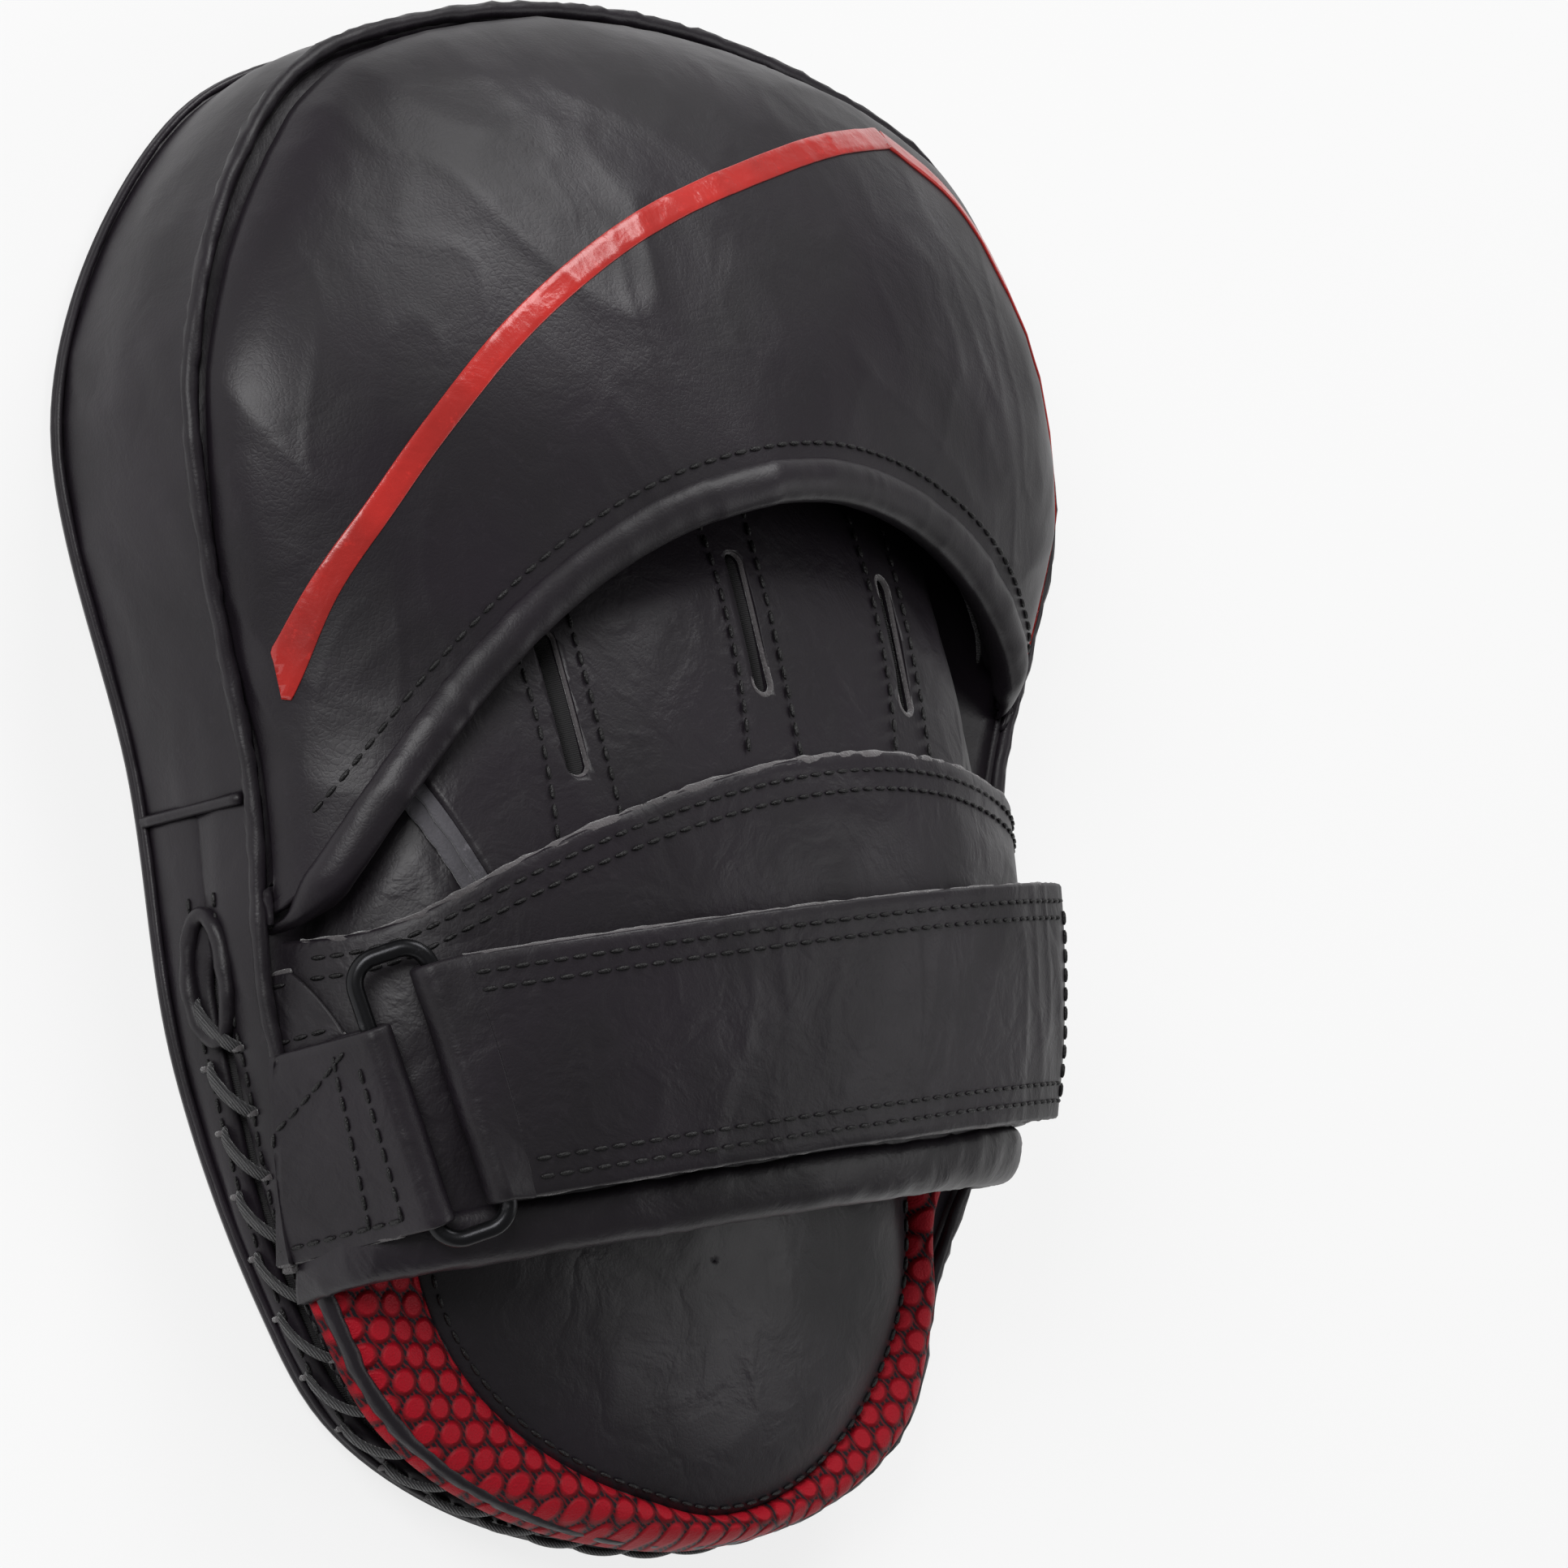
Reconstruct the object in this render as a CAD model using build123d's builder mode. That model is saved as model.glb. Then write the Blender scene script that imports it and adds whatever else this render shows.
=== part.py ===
from build123d import *

import os
from math import cos, pi, radians, sin

# Focus mitt lying on its striking face, with the hand side up.
#
# X runs from the thumb side to the little-finger side, Y runs towards the
# fingertips and Z points from the striking face to the back of the hand.
# The origin is the middle of the bottom face.  All sizes are in millimetres.

# --- outline of the cushion ---------------------------------------------------
mitt_length = 268.0        # fingertip end to heel
tip_lean = 8.0             # how far both ends lean towards the little-finger side
tip_round_width = 104.0    # across the round end itself
tip_round_y = 126.0
crown_width = 165.0        # across the shoulders near the fingertip end
crown_y = 110.0
head_width = 209.0         # widest place, over the fingers
head_y = 58.0
waist_width = 181.0
waist_y = -5.0
palm_width = 173.0
palm_y = -52.0
lobe_width = 149.0         # across the heel lobe
lobe_y = -93.0
heel_width = 128.0         # where the round heel end starts
heel_y = -113.0
heel_round_width = 80.0
heel_round_y = -127.5

# --- side profile -------------------------------------------------------------
tip_lift = 8.0             # how far the face edge curls up at the fingertips
heel_lift = 2.0            # and at the heel
flat_tip_y = 62.0          # the face lies flat between these two places
flat_heel_y = -66.0
seam_tip_z = 31.0          # height of the back seam, from the tip to the heel
seam_head_z = 36.0
seam_waist_z = 30.0
seam_palm_z = 26.0
seam_heel_z = 16.0

# --- leather, foam and clearances ----------------------------------------------
leather = 2.0
face_leather = 2.5
firm_foam = 7.0
soft_foam = 8.0
lining = 1.2
clear = 0.3                # between soft pieces
sewn = 0.15                # between pieces sewn or glued to each other
welt_out = 1.6             # how far the rolled welt stands out of the wall
welt_height = 3.0

# --- wall joint and lacing ------------------------------------------------------
wall_joint_y = -12.0       # where the head wall meets the heel wall
lacing_y = -34.0           # the laced opening runs round the heel below this place
lacing_gap = 3.2           # width of the opening between its rolled edges
tongue_overlap = 2.0       # how far the tongue reaches behind each edge
lace_radius = 1.1
lace_reach = 1.0           # how far past each edge the lace is threaded
lace_turns = 24
lace_margin = 6.0          # from the end of the opening to the first crossing
lace_bend = 2.6
lace_stand = 0.9           # between the wall and the lace, so that its straight runs clear the curve

# --- heel pad --------------------------------------------------------------------
heel_pad_x = 5.0
heel_pad_y = -66.0         # middle of the domed pad
heel_pad_top_z = 33.0
heel_pad_radius = 160.0    # of the ball that it is a cap of
heel_pad_inset = 0.8       # its foot stands this far inside the back seam
heel_pad_end_y = -58.0     # where the pad stops under the hand
oval_x = 9.0               # leather oval set into the mesh
oval_y = -72.0
oval_half_width = 63.0
oval_half_length = 58.0

# --- hand space ------------------------------------------------------------------
arch_x = 1.0
arch_y = -20.0             # the arch is highest here
arch_top_z = 70.0
arch_half_width = 86.0
arch_side_radius = 38.0    # of its shoulders
arch_bow_radius = 185.0    # its ridge curves down to the wrist and the fingertips with this radius
arch_turn = 32             # degrees that the arch runs each way from its highest place
arch_base_z = 20.0         # the arch springs from upright sides at this height
form_floor_z = 12.0        # the arch and the heel pad go on down to here, inside the cushion
panel_left = 62.0          # raw side edges of the finger panel, from the middle
panel_right = 60.0
panel_end_y = 64.0
panel_leather = 1.6
back_edge_radius = 213.0   # the raw front edge of the hand back is a large arc
back_edge_x = 38.0
back_edge_y = -3.5
back_overlap = 12.0        # how far the hand back covers the finger panel
suede_width = 9.0
suede_out = 1.5            # how far the suede layers stand out past the panel edge
palm_ball_radius = 30.0
palm_ball_rise = 9.0
palm_ball_y = -22.0
overhang = 16.0            # the body form reaches this far out under parts that bulge past the outline

# --- finger slots ------------------------------------------------------------------
slot_pitch = 41.0
slot_middle_x = -5.0
slot_middle_y = 18.0
slot_length = 26.0
slot_width = 3.6
slot_fan = 6.0             # degrees between neighbouring slots
thumb_slot_drop = 16.0     # the thumb-side slot sits this much lower
stall_wall = 1.4
stall_gap = 5.0            # between the two walls beside each slot
stall_length = 62.0

# --- hood ---------------------------------------------------------------------------
hood_x = 2.0
hood_y = 38.0
hood_top_z = 79.0
hood_skirt = 12.0
hood_slope = 1.7
hood_pad_thickness = 6.0
hood_edge_radius = 117.0   # the bound edge is an arc over the knuckles
hood_edge_x = 16.0
hood_edge_y = 39.0
hood_tail_y = -33.0        # the hood reaches this far down on the thumb side
hood_heel_y = 10.0         # and this far on the little-finger side
binding_width = 6.5
binding_roll = 1.2

# --- strap, ring and cuff --------------------------------------------------------------
strap_slant = 7.8          # degrees; the strap rises towards the little-finger side
strap_middle_y = -53.0
strap_width = 40.0
strap_thickness = 2.0
loop_thickness = 1.4
hook_thickness = 1.7
patch_margin = 4.0
flap_end_x = 82.0
loop_start = 14.0          # from the fold to the loop patch
hook_start = 50.0          # and to the hook patch
ring_x = -70.0             # where the ring lies on the back of the hand
ring_y = -63.0
ring_slant = 20.0
ring_wire = 3.0
ring_length = 52.0
ring_width = 16.0
ring_corner = 4.5
ring_play = 0.2            # round the ring's bars
tab_width = 41.0
tab_thickness = 1.6
tab_taper = 12.0           # from the bar to where the tab's layers lie flat
anchor_width = 13.0
fold_leg = 2.5             # straight run of the strap past the ring's bar
fold_gap = 2.2
cuff_start = 20.8          # from the strap middle towards the wrist
cuff_end = 29.5
cuff_inside = 5.0
cuff_outside = 1.5
lining_length = 30.0

half_length = mitt_length / 2
outline_steps = 36         # points on a grown outline
far = 2 * mitt_length
dome_foot = 0.985          # domed forms stand just inside the outline
dome_turns = (0, 20, 40, 60, 78)


def lean(y):
    """Sideways shift of the outline's middle line at y; it is nil where the head is widest."""
    return tip_lean * (y ** 2 - head_y ** 2) / (half_length ** 2 - head_y ** 2)


def outline_points(size=1.0, centre_x=0.0, centre_y=0.0):
    """Points round the outline from the tip, thumb side first, scaled about a centre."""
    stations = [
        (tip_round_y, tip_round_width), (crown_y, crown_width), (head_y, head_width),
        (waist_y, waist_width), (palm_y, palm_width), (lobe_y, lobe_width),
        (heel_y, heel_width), (heel_round_y, heel_round_width),
    ]
    thumb_side = [(lean(y) - width / 2, y) for y, width in stations]
    finger_side = [(lean(y) + width / 2, y) for y, width in reversed(stations)]
    loop = [(lean(half_length), half_length)] + thumb_side
    loop += [(lean(-half_length), -half_length)] + finger_side
    return [(centre_x + size * (x - centre_x), centre_y + size * (y - centre_y)) for x, y in loop]


with BuildLine():
    outline_edge = Spline(*outline_points(), periodic=True)


def outline_place(along, out):
    """Point on the outline, along it from 0 to 1, moved straight out from the wall."""
    run = outline_edge % along
    return outline_edge @ along + Vector(run.Y, -run.X) * out


def outline_sketch(height=0.0, grow=0.0, size=1.0, centre_x=0.0, centre_y=0.0):
    """The cushion outline as a face at a height: scaled about a centre, or grown by an even distance."""
    if grow:
        points = [outline_place(step / outline_steps, grow) for step in range(outline_steps)]
    else:
        points = outline_points(size, centre_x, centre_y)
    with BuildSketch(Plane.XY.offset(height)) as sketch:
        with BuildLine():
            Spline(*points, periodic=True)
        make_face()
    return sketch.sketch


def face_lift(y):
    """Height of the striking face at y: flat in the middle, curled up at both ends."""
    y = max(-half_length, min(half_length, y))
    if y > flat_tip_y:
        return tip_lift * ((y - flat_tip_y) / (half_length - flat_tip_y)) ** 2
    if y < flat_heel_y:
        return heel_lift * ((flat_heel_y - y) / (half_length + flat_heel_y)) ** 2
    return 0.0


def side_band(low, drop=0.0, high=None):
    """Side view between the face lifted by low and the back seam less drop, or the face lifted by high."""
    end = half_length + 12.0
    ends = [-end, -half_length, (flat_heel_y - half_length) / 2, flat_heel_y, flat_tip_y,
            (flat_tip_y + half_length) / 2, half_length, end]

    def face_curve(rise):
        return [(y, face_lift(y) + rise) for y in ends]

    with BuildSketch(Plane.YZ) as sketch:
        with BuildLine():
            under = face_curve(low)
            Line(under[0], under[1])
            ThreePointArc(under[1], under[2], under[3])
            Line(under[3], under[4])
            ThreePointArc(under[4], under[5], under[6])
            Line(under[6], under[7])
            if high is None:
                over = Spline(
                    (end, seam_tip_z - drop),
                    (crown_y, (seam_tip_z + seam_head_z) / 2 - drop),
                    (head_y, seam_head_z - drop),
                    (waist_y, seam_waist_z - drop),
                    (palm_y, seam_palm_z - drop),
                    (lobe_y, seam_heel_z + 1.5 - drop),
                    (-end, seam_heel_z - drop),
                    tangents=((-1, 0.1), (-1, 0)),
                )
                Line(under[7], over @ 0)
                Line(over @ 1, under[0])
            else:
                upper = face_curve(high)
                Line(under[7], upper[7])
                Line(upper[7], upper[6])
                ThreePointArc(upper[6], upper[5], upper[4])
                Line(upper[4], upper[3])
                ThreePointArc(upper[3], upper[2], upper[1])
                Line(upper[1], upper[0])
                Line(upper[0], under[0])
        make_face()
    return sketch.sketch


def cushion(grow=0.0, low=0.0, drop=0.0, high=None):
    """The cushion's form between two side-view curves, grown sideways by an even distance."""
    with BuildPart() as form:
        extrude(outline_sketch(grow=grow), amount=far)
        extrude(side_band(low, drop, high), amount=far, both=True, mode=Mode.INTERSECT)
    return form.part


def plan_prism(sketch):
    """Upright prism through the whole height of the mitt."""
    with BuildPart() as prism:
        extrude(sketch, amount=far)
    return prism.part


def plan_box(x_low, x_high, y_low, y_high):
    """Upright prism over a rectangle in plan."""
    with BuildSketch() as sketch:
        with Locations(((x_low + x_high) / 2, (y_low + y_high) / 2)):
            Rectangle(x_high - x_low, y_high - y_low)
    return plan_prism(sketch.sketch)


def plan_disc(x, y, radius):
    """Upright prism over a circle in plan."""
    with BuildSketch() as sketch:
        with Locations((x, y)):
            Circle(radius)
    return plan_prism(sketch.sketch)


def strap_strip(low, high, x_low=-far, x_high=far):
    """Upright prism between two lines along the strap, low and high measured from its middle."""
    strap_plane = Plane(origin=(0, strap_middle_y, 0)).rotated((0, 0, strap_slant))
    with BuildSketch(strap_plane) as sketch:
        with Locations(((x_low + x_high) / 2, (low + high) / 2)):
            Rectangle(x_high - x_low, high - low)
    return plan_prism(sketch.sketch)


def dome(centre_x, centre_y, levels):
    """Dome lofted through copies of the outline; each level is a height and a scale."""
    sections = [outline_sketch(height, 0, size, centre_x, centre_y) for height, size in levels]
    with BuildPart() as form:
        loft(sections)
    return form.part


def hood_dome(depth=0.0):
    """The hood's domed form, depth below its outer surface."""
    inward = 1 - 0.7 * depth / (head_width / 2)
    rise = hood_top_z - seam_head_z
    levels = [(seam_head_z - hood_skirt - 0.8 * depth, dome_foot * inward)]
    for turn in dome_turns:
        height = seam_head_z + rise * sin(radians(turn)) - 0.8 * depth
        levels.append((height, dome_foot * inward * cos(radians(turn)) ** hood_slope))
    return dome(hood_x, hood_y, levels)


def heel_dome(depth=0.0):
    """The heel pad's domed form, depth below its outer surface: a cap of a large ball in the outline."""
    with BuildPart() as form:
        extrude(outline_sketch(form_floor_z, -heel_pad_inset - depth), amount=far)
        with Locations((heel_pad_x, heel_pad_y, heel_pad_top_z - heel_pad_radius)):
            Sphere(heel_pad_radius - depth, mode=Mode.INTERSECT)
    return form.part


def arch(grow=0.0):
    """The arched hand space, grown outwards: a three-centred arch, bowed from the wrist to the fingertips."""
    side_x = arch_half_width - arch_side_radius
    rise = arch_top_z - arch_base_z
    top_radius = (side_x ** 2 + rise ** 2 - arch_side_radius ** 2) / (2 * (rise - arch_side_radius))
    shoulder = Vector(side_x, top_radius - rise).normalized()
    join_x = shoulder.X * (top_radius + grow)
    join_y = arch_bow_radius - top_radius + shoulder.Y * (top_radius + grow)
    half = arch_half_width + grow
    base_y = arch_bow_radius - rise
    floor_y = base_y + form_floor_z - arch_base_z
    turn = radians(arch_turn)
    bow_centre = (arch_x, arch_y, arch_top_z - arch_bow_radius)
    with BuildPart() as form:
        with BuildSketch(Plane(origin=bow_centre, x_dir=(1, 0, 0), z_dir=(0, -cos(turn), sin(turn)))):
            with BuildLine():
                Line((-half, floor_y), (half, floor_y))
                Line((half, floor_y), (half, base_y))
                RadiusArc((half, base_y), (join_x, join_y), -arch_side_radius - grow)
                RadiusArc((join_x, join_y), (-join_x, join_y), -top_radius - grow)
                RadiusArc((-join_x, join_y), (-half, base_y), -arch_side_radius - grow)
                Line((-half, base_y), (-half, floor_y))
            make_face()
        revolve(axis=Axis(bow_centre, (1, 0, 0)), revolution_arc=2 * arch_turn)
        split(bisect_by=Plane.XY.offset(form_floor_z), keep=Keep.TOP)
    return form.part


def shell(inner, outer):
    """Part of the arched wall between two distances from the hand back's outer surface."""
    with BuildPart() as form:
        add(arch(outer))
        add(arch(inner), mode=Mode.SUBTRACT)
        add(body_form, mode=Mode.SUBTRACT)
    return form.part


# --- forms that several pieces share ---------------------------------------------------
cushion_form = cushion()
heel_form = heel_dome()
with BuildPart() as body:
    add(heel_form)
    add(plan_box(-far, far, heel_pad_end_y, far), mode=Mode.SUBTRACT)
    add(cushion(overhang))
body_form = body.part
hand_form = arch()
hand_room = arch(clear)
palm_inset = leather + lining + clear


def finish(piece, name):
    """Label a piece and write its file."""
    piece.part.label = name
    export_step(piece.part, f"parts/{name}.step")


os.makedirs("parts", exist_ok=True)

# --- striking face and foam layers --------------------------------------------------
with BuildPart() as strike_face:
    add(cushion(high=face_leather))
finish(strike_face, "strike_face")

first_foam = face_leather
second_foam = first_foam + firm_foam
third_foam = second_foam + soft_foam

with BuildPart() as firm_layer:
    add(cushion(-palm_inset, first_foam, high=second_foam))
    add(cushion(0, 0, leather), mode=Mode.INTERSECT)
finish(firm_layer, "firm_foam")

with BuildPart() as soft_layer:
    add(cushion(-palm_inset, second_foam, high=third_foam))
    add(cushion(0, 0, leather), mode=Mode.INTERSECT)
finish(soft_layer, "soft_foam")

with BuildPart() as palm_layer:
    add(cushion(-palm_inset, 0, leather))
    add(cushion(high=third_foam), mode=Mode.SUBTRACT)
finish(palm_layer, "palm_foam")

# --- side walls, with the laced opening round the heel ----------------------------------
with BuildPart() as wall_ring:
    add(cushion(0, face_leather, leather))
    add(plan_prism(outline_sketch(grow=-leather)), mode=Mode.SUBTRACT)

with BuildPart() as head_wall:
    add(wall_ring.part)
    add(plan_box(-far, far, wall_joint_y, far), mode=Mode.INTERSECT)
finish(head_wall, "head_wall")


def seam_height(y):
    """Height of the back seam beside the hand and heel, between the stations of its curve."""
    stations = [(-half_length, seam_heel_z), (lobe_y, seam_heel_z + 1.5), (palm_y, seam_palm_z),
                (waist_y, seam_waist_z)]
    for (low_y, low_z), (high_y, high_z) in zip(stations, stations[1:]):
        if y <= high_y:
            return low_z + (high_z - low_z) * max(0.0, y - low_y) / (high_y - low_y)
    return seam_waist_z


def wall_middle(y):
    """Height half way up the side wall at y."""
    return (face_lift(y) + face_leather + seam_height(y) - leather) / 2


def lacing_band(half_height, start_y):
    """Prism along X, round the heel below start_y, half_height above and below the wall's middle."""
    end = -half_length - 12.0
    stations = [(start_y, wall_middle(start_y)), (palm_y, wall_middle(palm_y)),
                (lobe_y, wall_middle(lobe_y)), (end, wall_middle(-half_length))]
    with BuildPart() as band:
        with BuildSketch(Plane.YZ):
            with BuildLine():
                upper = Spline(*[(y, z + half_height) for y, z in stations])
                lower = Spline(*[(y, z - half_height) for y, z in stations])
                ThreePointArc(upper @ 0, (start_y + half_height, wall_middle(start_y)), lower @ 0)
                Line(upper @ 1, lower @ 1)
            make_face()
        extrude(amount=far, both=True)
    return band.part


with BuildPart() as heel_wall:
    add(wall_ring.part)
    add(plan_box(-far, far, -far, wall_joint_y), mode=Mode.INTERSECT)
    add(lacing_band(lacing_gap / 2, lacing_y), mode=Mode.SUBTRACT)
finish(heel_wall, "heel_wall")

with BuildPart() as lacing_tongue:
    add(cushion(-leather, face_leather, leather))
    add(plan_prism(outline_sketch(grow=-leather - lining)), mode=Mode.SUBTRACT)
    add(lacing_band(lacing_gap / 2 + tongue_overlap, lacing_y), mode=Mode.INTERSECT)
finish(lacing_tongue, "lacing_tongue")


def outline_share(y, low, high):
    """How far along the outline its y falls to the given value, searched between two places."""
    rising = (outline_edge @ high).Y > (outline_edge @ low).Y
    for _ in range(24):
        middle = (low + high) / 2
        if ((outline_edge @ middle).Y < y) == rising:
            low = middle
        else:
            high = middle
    return low


# The lace runs to and fro across the opening, from one slit to the next.
lace_wall = lacing_gap / 2 + lace_reach
lace_start = outline_share(lacing_y - lace_margin, 0.2, 0.5)
lace_end = outline_share(lacing_y - lace_margin, 0.5, 0.8)
lace_points = []
for turn in range(lace_turns + 1):
    place = outline_place(lace_start + (lace_end - lace_start) * turn / lace_turns, lace_radius + lace_stand)
    rise = lace_wall if turn % 2 else -lace_wall
    lace_points.append((place.X, place.Y, wall_middle(place.Y) + rise))

with BuildPart() as lace:
    with BuildLine() as lace_route:
        FilletPolyline(*lace_points, radius=lace_bend)
    with BuildSketch(Plane(origin=lace_route.line @ 0, z_dir=lace_route.line % 0)):
        Circle(lace_radius)
    sweep(path=lace_route.line)
finish(lace, "lace")

# --- palm side and heel pad ---------------------------------------------------------------
with BuildPart() as seam_welt:
    add(cushion(welt_out, 0, 0))
    add(cushion(welt_out, -far, welt_height), mode=Mode.SUBTRACT)
    add(plan_prism(outline_sketch()), mode=Mode.SUBTRACT)
finish(seam_welt, "seam_welt")

with BuildPart() as palm_panel:
    add(cushion_form)
    add(cushion(1.0, -far, leather), mode=Mode.SUBTRACT)
finish(palm_panel, "palm_panel")

with BuildPart() as palm_ball:
    with BuildSketch(Plane.XZ.offset(-palm_ball_y)):
        with BuildLine():
            crown = ThreePointArc(
                (0, seam_waist_z + palm_ball_rise),
                (palm_ball_radius * 0.55, seam_waist_z + palm_ball_rise * 0.72),
                (palm_ball_radius, seam_waist_z),
            )
            side = Line(crown @ 1, (palm_ball_radius, arch_base_z))
            floor = Line(side @ 1, (0, arch_base_z))
            Line(floor @ 1, crown @ 0)
        make_face()
    revolve(axis=Axis((0, palm_ball_y, 0), (0, 0, 1)))
    add(cushion_form, mode=Mode.SUBTRACT)
finish(palm_ball, "palm_ball")

with BuildSketch() as oval:
    with Locations((oval_x, oval_y)):
        Ellipse(oval_half_width, oval_half_length)
oval_prism = plan_prism(oval.sketch)
heel_side = plan_box(-far, far, -far, heel_pad_end_y)

with BuildPart() as heel_skin:
    add(heel_form)
    add(heel_dome(leather), mode=Mode.SUBTRACT)
    add(cushion_form, mode=Mode.SUBTRACT)
    add(heel_side, mode=Mode.INTERSECT)

with BuildPart() as heel_panel:
    add(heel_skin.part)
    add(oval_prism, mode=Mode.INTERSECT)
finish(heel_panel, "heel_panel")

with BuildPart() as mesh_border:
    add(heel_skin.part)
    add(oval_prism, mode=Mode.SUBTRACT)
finish(mesh_border, "mesh_border")

with BuildPart() as heel_foam:
    add(heel_dome(leather + sewn))
    add(cushion_form, mode=Mode.SUBTRACT)
    add(heel_side, mode=Mode.INTERSECT)
finish(heel_foam, "heel_foam")

# --- finger panel, stalls and hand back ------------------------------------------------------
back_disc = plan_disc(back_edge_x, back_edge_y - back_edge_radius, back_edge_radius)
covered_disc = plan_disc(back_edge_x, back_edge_y - back_edge_radius, back_edge_radius - back_overlap)
panel_outer = -leather - clear
panel_inner = panel_outer - panel_leather
slot_places = []
for number in (-1, 0, 1):
    slot_y = slot_middle_y - (thumb_slot_drop if number == -1 else 0)
    slot_places.append((slot_middle_x + number * slot_pitch, slot_y, -number * slot_fan))

with BuildPart() as slot_cutter:
    for x, y, fan in slot_places:
        with BuildSketch(Plane(origin=(x, y, 0)).rotated((0, 0, fan + 90))):
            SlotOverall(slot_length, slot_width)
    extrude(amount=far)

with BuildPart() as finger_panel:
    add(shell(panel_inner, panel_outer))
    add(covered_disc, mode=Mode.SUBTRACT)
    add(plan_box(-panel_left, panel_right, -far, panel_end_y), mode=Mode.INTERSECT)
    add(slot_cutter.part, mode=Mode.SUBTRACT)
finish(finger_panel, "finger_panel")

stall_room = arch(panel_inner - sewn)
stall_names = ("thumb_side", "middle", "little_side")
all_stalls = []
for stall_name, (x, y, fan) in zip(stall_names, slot_places):
    for wall_name, side in (("left", -1), ("right", 1)):
        with BuildPart() as stall_wall_part:
            with BuildSketch(Plane(origin=(x, y, 0)).rotated((0, 0, fan))):
                with Locations((side * (stall_gap + stall_wall) / 2, (stall_length - slot_length) / 2)):
                    Rectangle(stall_wall, stall_length)
            extrude(amount=far)
            add(stall_room, mode=Mode.INTERSECT)
            add(cushion_form, mode=Mode.SUBTRACT)
            add(palm_ball.part, mode=Mode.SUBTRACT)
        finish(stall_wall_part, f"stall_wall_{stall_name}_{wall_name}")
        all_stalls.append(stall_wall_part.part)

suede_outer = panel_inner - sewn
for name, x_edge, side in (("suede_thumb", -panel_left, -1), ("suede_finger", panel_right, 1)):
    x_near = x_edge + side * suede_out
    x_far = x_near - side * suede_width
    with BuildPart() as suede:
        add(shell(suede_outer - lining, suede_outer))
        add(covered_disc, mode=Mode.SUBTRACT)
        add(plan_box(min(x_near, x_far), max(x_near, x_far), -far, panel_end_y - suede_width), mode=Mode.INTERSECT)
        add(all_stalls, mode=Mode.SUBTRACT)
    finish(suede, name)

wrist_side = strap_strip(-cuff_start, far)
with BuildPart() as hand_back:
    add(shell(-leather, 0))
    add(back_disc, mode=Mode.INTERSECT)
    add(wrist_side, mode=Mode.INTERSECT)
finish(hand_back, "hand_back")

with BuildPart() as cuff_pad:
    add(shell(-cuff_inside, cuff_outside))
    add(strap_strip(-cuff_end, -cuff_start - sewn), mode=Mode.INTERSECT)
finish(cuff_pad, "cuff_pad")

lining_outer = -cuff_inside - sewn
with BuildPart() as cuff_lining:
    add(shell(lining_outer - lining, lining_outer))
    add(strap_strip(-cuff_end + leather, -cuff_end + leather + lining_length), mode=Mode.INTERSECT)
    add(palm_ball.part, mode=Mode.SUBTRACT)
finish(cuff_lining, "cuff_lining")

# --- hood --------------------------------------------------------------------------------------
edge_centre_y = hood_edge_y - hood_edge_radius
edge_disc = plan_disc(hood_edge_x, edge_centre_y, hood_edge_radius)
binding_disc = plan_disc(hood_edge_x, edge_centre_y, hood_edge_radius + binding_width)
with BuildPart() as hood_plan:
    add(plan_box(-far, 0, hood_tail_y, far))
    add(plan_box(0, far, hood_heel_y, far))
    add(edge_disc, mode=Mode.SUBTRACT)
hood_region = hood_plan.part


def hood_layer(outer_depth, inner_depth):
    """Layer of the hood between two depths below its outer surface."""
    with BuildPart() as layer:
        add(hood_dome(outer_depth))
        add(hood_dome(inner_depth), mode=Mode.SUBTRACT)
        add(cushion_form, mode=Mode.SUBTRACT)
        add(hand_room, mode=Mode.SUBTRACT)
        add(hood_region, mode=Mode.INTERSECT)
    return layer.part


pad_depth = leather + sewn
lining_depth = pad_depth + hood_pad_thickness + sewn

with BuildPart() as hood_shell:
    add(hood_layer(0, leather))
    add(binding_disc, mode=Mode.SUBTRACT)
finish(hood_shell, "hood_shell")

with BuildPart() as hood_binding:
    add(hood_layer(-binding_roll, leather))
    add(binding_disc, mode=Mode.INTERSECT)
finish(hood_binding, "hood_binding")

with BuildPart() as hood_pad:
    add(hood_layer(pad_depth, pad_depth + hood_pad_thickness))
finish(hood_pad, "hood_pad")

with BuildPart() as hood_lining:
    add(hood_layer(lining_depth, lining_depth + lining))
finish(hood_lining, "hood_lining")

# --- ring, its tab and the side anchor ------------------------------------------------------------
ring_height = clear + strap_thickness + ring_play + ring_wire / 2
bar_x = (ring_width - ring_wire) / 2
ring_spot, ring_normal = hand_form.find_intersection_points(Axis((ring_x, ring_y, far), (0, 0, -1)))[0]
ring_along = Vector(-sin(radians(ring_slant)), cos(radians(ring_slant)), 0)
ring_plane = Plane(
    origin=ring_spot + ring_normal * ring_height,
    x_dir=ring_along.cross(ring_normal),
    z_dir=ring_normal,
)
bar_view = Plane(origin=ring_plane.origin, x_dir=ring_plane.x_dir, z_dir=-ring_plane.y_dir)


def ring_box(x_low, x_high, y_low, y_high):
    """Prism along the ring's normal, over a rectangle in the ring's plane."""
    with BuildPart() as prism:
        with BuildSketch(ring_plane):
            with Locations(((x_low + x_high) / 2, (y_low + y_high) / 2)):
                Rectangle(x_high - x_low, y_high - y_low)
        extrude(amount=far, both=True)
    return prism.part


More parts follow.
